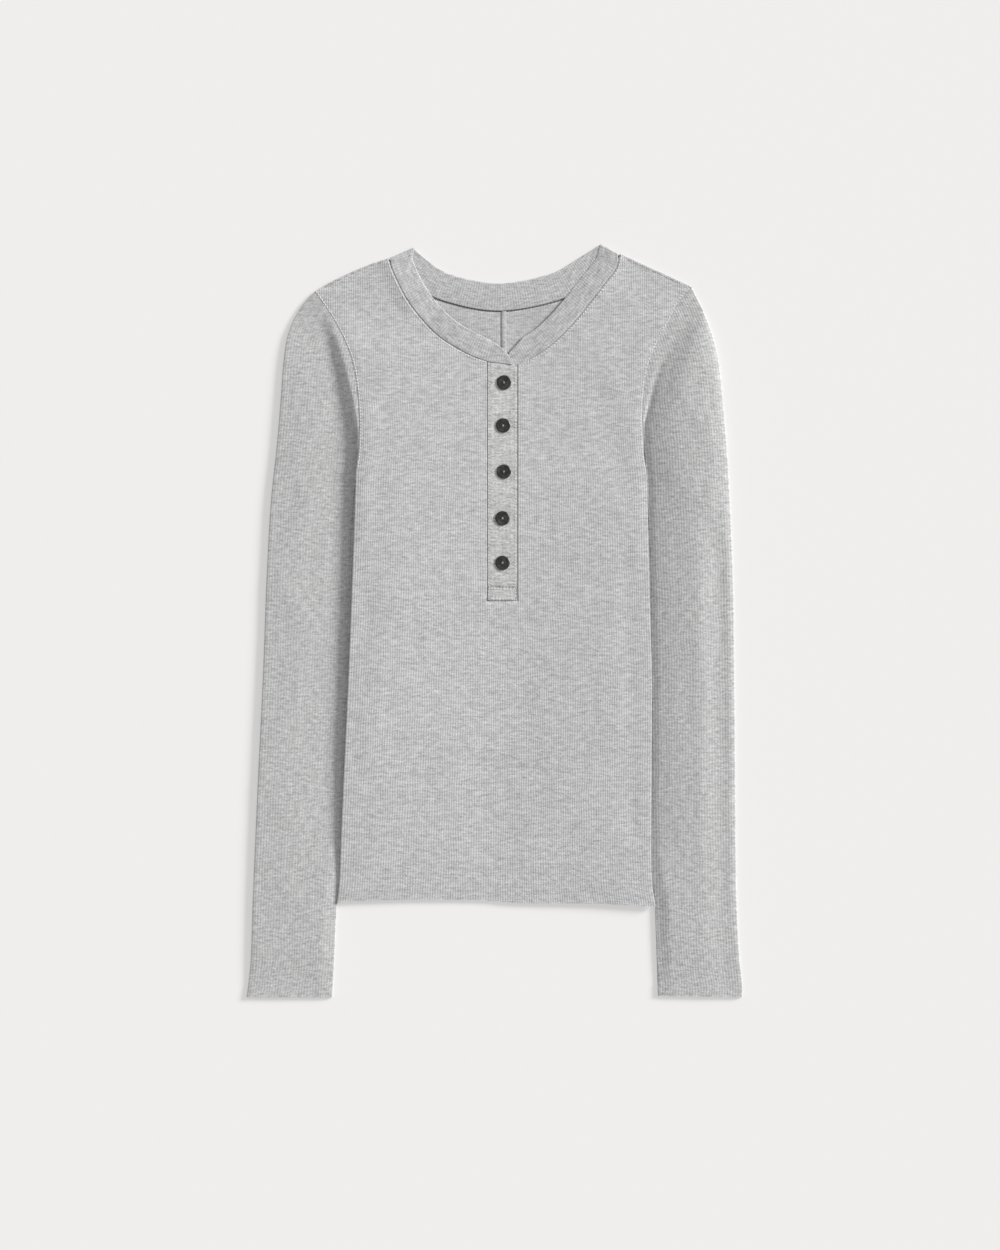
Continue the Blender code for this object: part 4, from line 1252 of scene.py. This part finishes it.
# %% Knit material
def knit_material(name, pitch, course, base, streaks, grooves, relief):
    """pitch is the ribs' spacing and course the height of a stitch, both in mm."""
    material, tree, shader = new_material(name, Roughness=0.94, Sheen_Weight=0.12,
                                          Sheen_Roughness=0.6, Specular_IOR_Level=0.18,
                                          Subsurface_Weight=0.35, Subsurface_Scale=0.7 * MM,
                                          Subsurface_Radius=(1.0, 1.0, 1.0))
    place = add_node(tree, "ShaderNodeAttribute", {"attribute_name": "knit"}, output=1)
    parts = add_node(tree, "ShaderNodeSeparateXYZ", inputs={0: place}).socket.node.outputs
    rib, along, face = (Wire(tree, parts[i]) for i in range(3))
    across = rib * pitch
    row = along / course

    def cloud(x, y, z, detail=2.0, roughness=0.55):
        spot = add_node(tree, "ShaderNodeCombineXYZ", inputs={0: x, 1: y, 2: z})
        return noise(tree, spot, 1.0, detail, roughness)

    streak = cloud(across / 6.5, row / 1.7, face * 7.3, 3.0, 0.62) - 0.5
    fleck = cloud(across / 1.5, row / 1.5, face * 3.1 + 40.0, 1.0) - 0.5
    patch = cloud(across / 38.0, along / 26.0, face * 5.7 + 9.0) - 0.5
    from_ridge = place.maths("ABSOLUTE", place.maths("FRACT", rib) - 0.5) * 2.0
    groove = from_ridge.smooth(0.45, 1.0)
    shade = 1.0 + streak * streaks + fleck * (streaks * 0.5) + patch * 0.06
    shade = shade * (1.0 - groove * grooves)
    tint = add_node(tree, "ShaderNodeVectorMath", {"operation": "SCALE"},
                    {0: base, "Scale": shade})
    stitch = place.maths("SINE", (row + from_ridge * 0.35) * math.tau) * (1.0 - groove)
    fuzz = cloud(across / 0.35, along / 0.35, face)
    feed(tree, shader, Base_Color=tint, Normal=bump(tree, stitch * 0.5 + fuzz * 0.7, 0.7, relief))
    return material


GREY, BACK_GREY, SLEEVE_GREY = (0.555, 0.555, 0.56), (0.53, 0.53, 0.535), (0.53, 0.53, 0.532)
PLACKET_GREY = (0.588, 0.588, 0.583)
knits = {
    # ribs' spacing, height of a stitch, colour, streaks, darkness of the grooves, relief
    "body": knit_material("rib_knit_body", PITCH, 1.05, GREY, 1.12, 0.06, 0.12),
    "back": knit_material("rib_knit_back", PITCH, 1.05, BACK_GREY, 1.12, 0.12, 0.12),
    "sleeve": knit_material("rib_knit_sleeve", SLEEVE_PITCH, 1.1, SLEEVE_GREY, 1.2, 0.08, 0.12),
    "band": knit_material("rib_band_knit", BAND_PITCH, 1.0, GREY, 1.2, 0.2, 0.12),
    "placket": knit_material("placket_knit", FINE_PITCH, 0.9, PLACKET_GREY, 1.45, 0.3, 0.1),
}

# %% [markdown]
# ## Horn, thread and painted shade
# Dark horn is cloudy brown and black with a soft polish. Most of the sewing thread is a little
# paler than the knit, so its stitches catch the eye as thin light lines. A grey one holds the
# buttons and the shoulders, and a grey cord round the foot of the placket is painted shade
# along its stitched box. A near-black one binds the back neck: a real overlock, whose dark
# colour is also the painted shadow under the back band. The slits are near-black sheets of
# painted shade inside each buttonhole.

# %% Horn, thread and painted shade materials
def horn_material():
    material, tree, shader = new_material("horn_dark", Coat_Weight=0.25, Coat_Roughness=0.2)
    place = add_node(tree, "ShaderNodeTexCoord", output=3)
    mask = noise(tree, place, 190.0, 3.0, 0.6, 1.2).smooth(0.42, 0.68)
    tint = add_node(tree, "ShaderNodeMix", {"data_type": "RGBA"}, {
        0: mask, 6: (0.012, 0.012, 0.012, 1), 7: (0.045, 0.042, 0.038, 1)}, output=2)
    feed(tree, shader, Base_Color=tint, Roughness=0.3 + mask * 0.15,
         Normal=bump(tree, noise(tree, place, 900.0), 0.25, 0.05))
    return material


def thread_material(name, colour):
    material, tree, shader = new_material(name, Roughness=0.8, Sheen_Weight=0.2)
    place = add_node(tree, "ShaderNodeTexCoord", output=3)
    fibre = noise(tree, place, 2600.0)
    tint = add_node(tree, "ShaderNodeVectorMath", {"operation": "SCALE"},
                    {0: colour, "Scale": 0.8 + fibre * 0.4})
    feed(tree, shader, Base_Color=tint, Normal=bump(tree, fibre, 0.4, 0.04))
    return material


horn = horn_material()
pale_thread = thread_material("thread_pale", (0.70, 0.70, 0.70))
# grey: the button threads and the shoulders, and painted shade round the placket's box
grey_thread_and_box_shade = thread_material("thread_grey_and_box_shade", (0.30, 0.30, 0.295))
# near-black: the back neck's overlock, partly painted shadow under the back band
overlock_and_shadow_thread = thread_material("thread_dark_overlock_and_shadow", (0.15, 0.15, 0.15))
# near-black: painted shade inside the buttonhole slits
slit_painted_shade_material = thread_material("slit_painted_shade", (0.03, 0.03, 0.03))


# %% [markdown]
# ## Dressing the pieces
# Each panel takes the place of the solid it stands for and rides the same body. Stitches and
# threads ride it too, but they replace nothing, since the solids have none of them.

# %% Dress the pieces and tie them to the solids
def dress(piece, material, record_slot, *nodes):
    piece.data.materials.clear()
    piece.data.materials.append(material)
    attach(piece, "root")
    if nodes:
        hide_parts(*nodes)


dress(front, knits["body"], "rib_knit", "front")
for name, side in SIDES.items():
    dress(backs[name], knits["back"], "rib_knit", f"back_{name}")
    dress(sleeves[name], knits["sleeve"], "rib_knit", f"sleeve_{name}")
    dress(arm_rows[name], pale_thread, "rib_knit")
dress(neckband, knits["band"], "rib_band", "neckband")
dress(placket_upper, knits["placket"], "placket_cloth", "placket_upper")
dress(placket_under, knits["placket"], "placket_cloth", "placket_under")
dress(allowance, knits["back"], "rib_knit")
# painted shade inside the buttonhole slits
dress(slit, slit_painted_shade_material, "placket_cloth")
# grey thread for the shoulders and buttons, and as painted shade round the placket's box
THREADS = {"shoulder_stitches": grey_thread_and_box_shade, "placket_box_painted_shade": grey_thread_and_box_shade,
           # the overlock's near-black is partly painted shadow under the back band
           "back_neck_overlock_and_shadow": overlock_and_shadow_thread}
for piece in seams.values():
    dress(piece, THREADS.get(piece.name, pale_thread),
          "placket_cloth" if "placket" in piece.name or "buttonhole" in piece.name
          else "rib_knit")
for number, (button, thread) in enumerate(zip(buttons, threads), 1):
    dress(button, horn, "horn", f"button_{number}")
    dress(thread, grey_thread_and_box_shade, "placket_cloth")

# %% [markdown]
# ## Floor, camera and light
# The shirt lies on a pale light table, which glows a little and so keeps the shadows on it
# soft, and is seen from straight above. One broad light comes in low from the top right, so the
# folds throw short shadows, and the rest of the room is bright and even.

# %% Stage
FLOOR_HALF = 3.0        # metres
FLOOR_GLOW = 0.40


def make_floor():
    bm = bmesh.new()
    bmesh.ops.create_grid(bm, x_segments=1, y_segments=1, size=FLOOR_HALF)
    floor = place_mesh(bm, "floor", unit=1.0)
    floor.data.materials.append(new_material(
        "floor_pale", Roughness=0.9, Specular_IOR_Level=0.1,
        Base_Color=(0.48, 0.475, 0.475, 1), Emission_Color=(1.0, 0.985, 0.975, 1),
        Emission_Strength=FLOOR_GLOW)[0])


VIEW_CENTRE = (4.8, -2.75)
VIEW_LONG = 1125.0      # mm of floor along the view's long side
LENS, SENSOR = 85.0, 36.0

make_floor()
camera_data = bpy.data.cameras.new("camera")
camera_data.lens, camera_data.sensor_width = LENS, SENSOR
camera = link_object("camera", camera_data)
camera.location = (VIEW_CENTRE[0] * MM, VIEW_CENTRE[1] * MM, VIEW_LONG * LENS / SENSOR * MM)
camera_data.clip_end = 20.0
scene.camera = camera

# %% Light
SUN_HEIGHT, SUN_FROM = 21.0, 27.0       # degrees over the floor, and from +X towards +Y
SUN_SOFT = 18                           # how wide it is, in degrees
SUN_STRENGTH, ROOM_STRENGTH = 4.3, 0.48


def make_sun():
    data = bpy.data.lights.new("sun", "SUN")
    data.energy = SUN_STRENGTH
    data.angle = math.radians(SUN_SOFT)
    data.color = (1.0, 0.995, 0.985)
    height, turn = math.radians(SUN_HEIGHT), math.radians(SUN_FROM)
    from_sun = Vector((math.cos(height) * math.cos(turn), math.cos(height) * math.sin(turn),
                       math.sin(height)))
    sun = link_object("sun", data)
    sun.rotation_euler = from_sun.to_track_quat("Z", "Y").to_euler()


make_sun()
room = bpy.data.worlds.new("room")
room.use_nodes = True
background = room.node_tree.nodes["Background"]
background.inputs["Color"].default_value = (1.0, 1.0, 1.0, 1)
background.inputs["Strength"].default_value = ROOM_STRENGTH
scene.world = room
scene.view_settings.view_transform = "Standard"
scene.view_settings.look = "None"
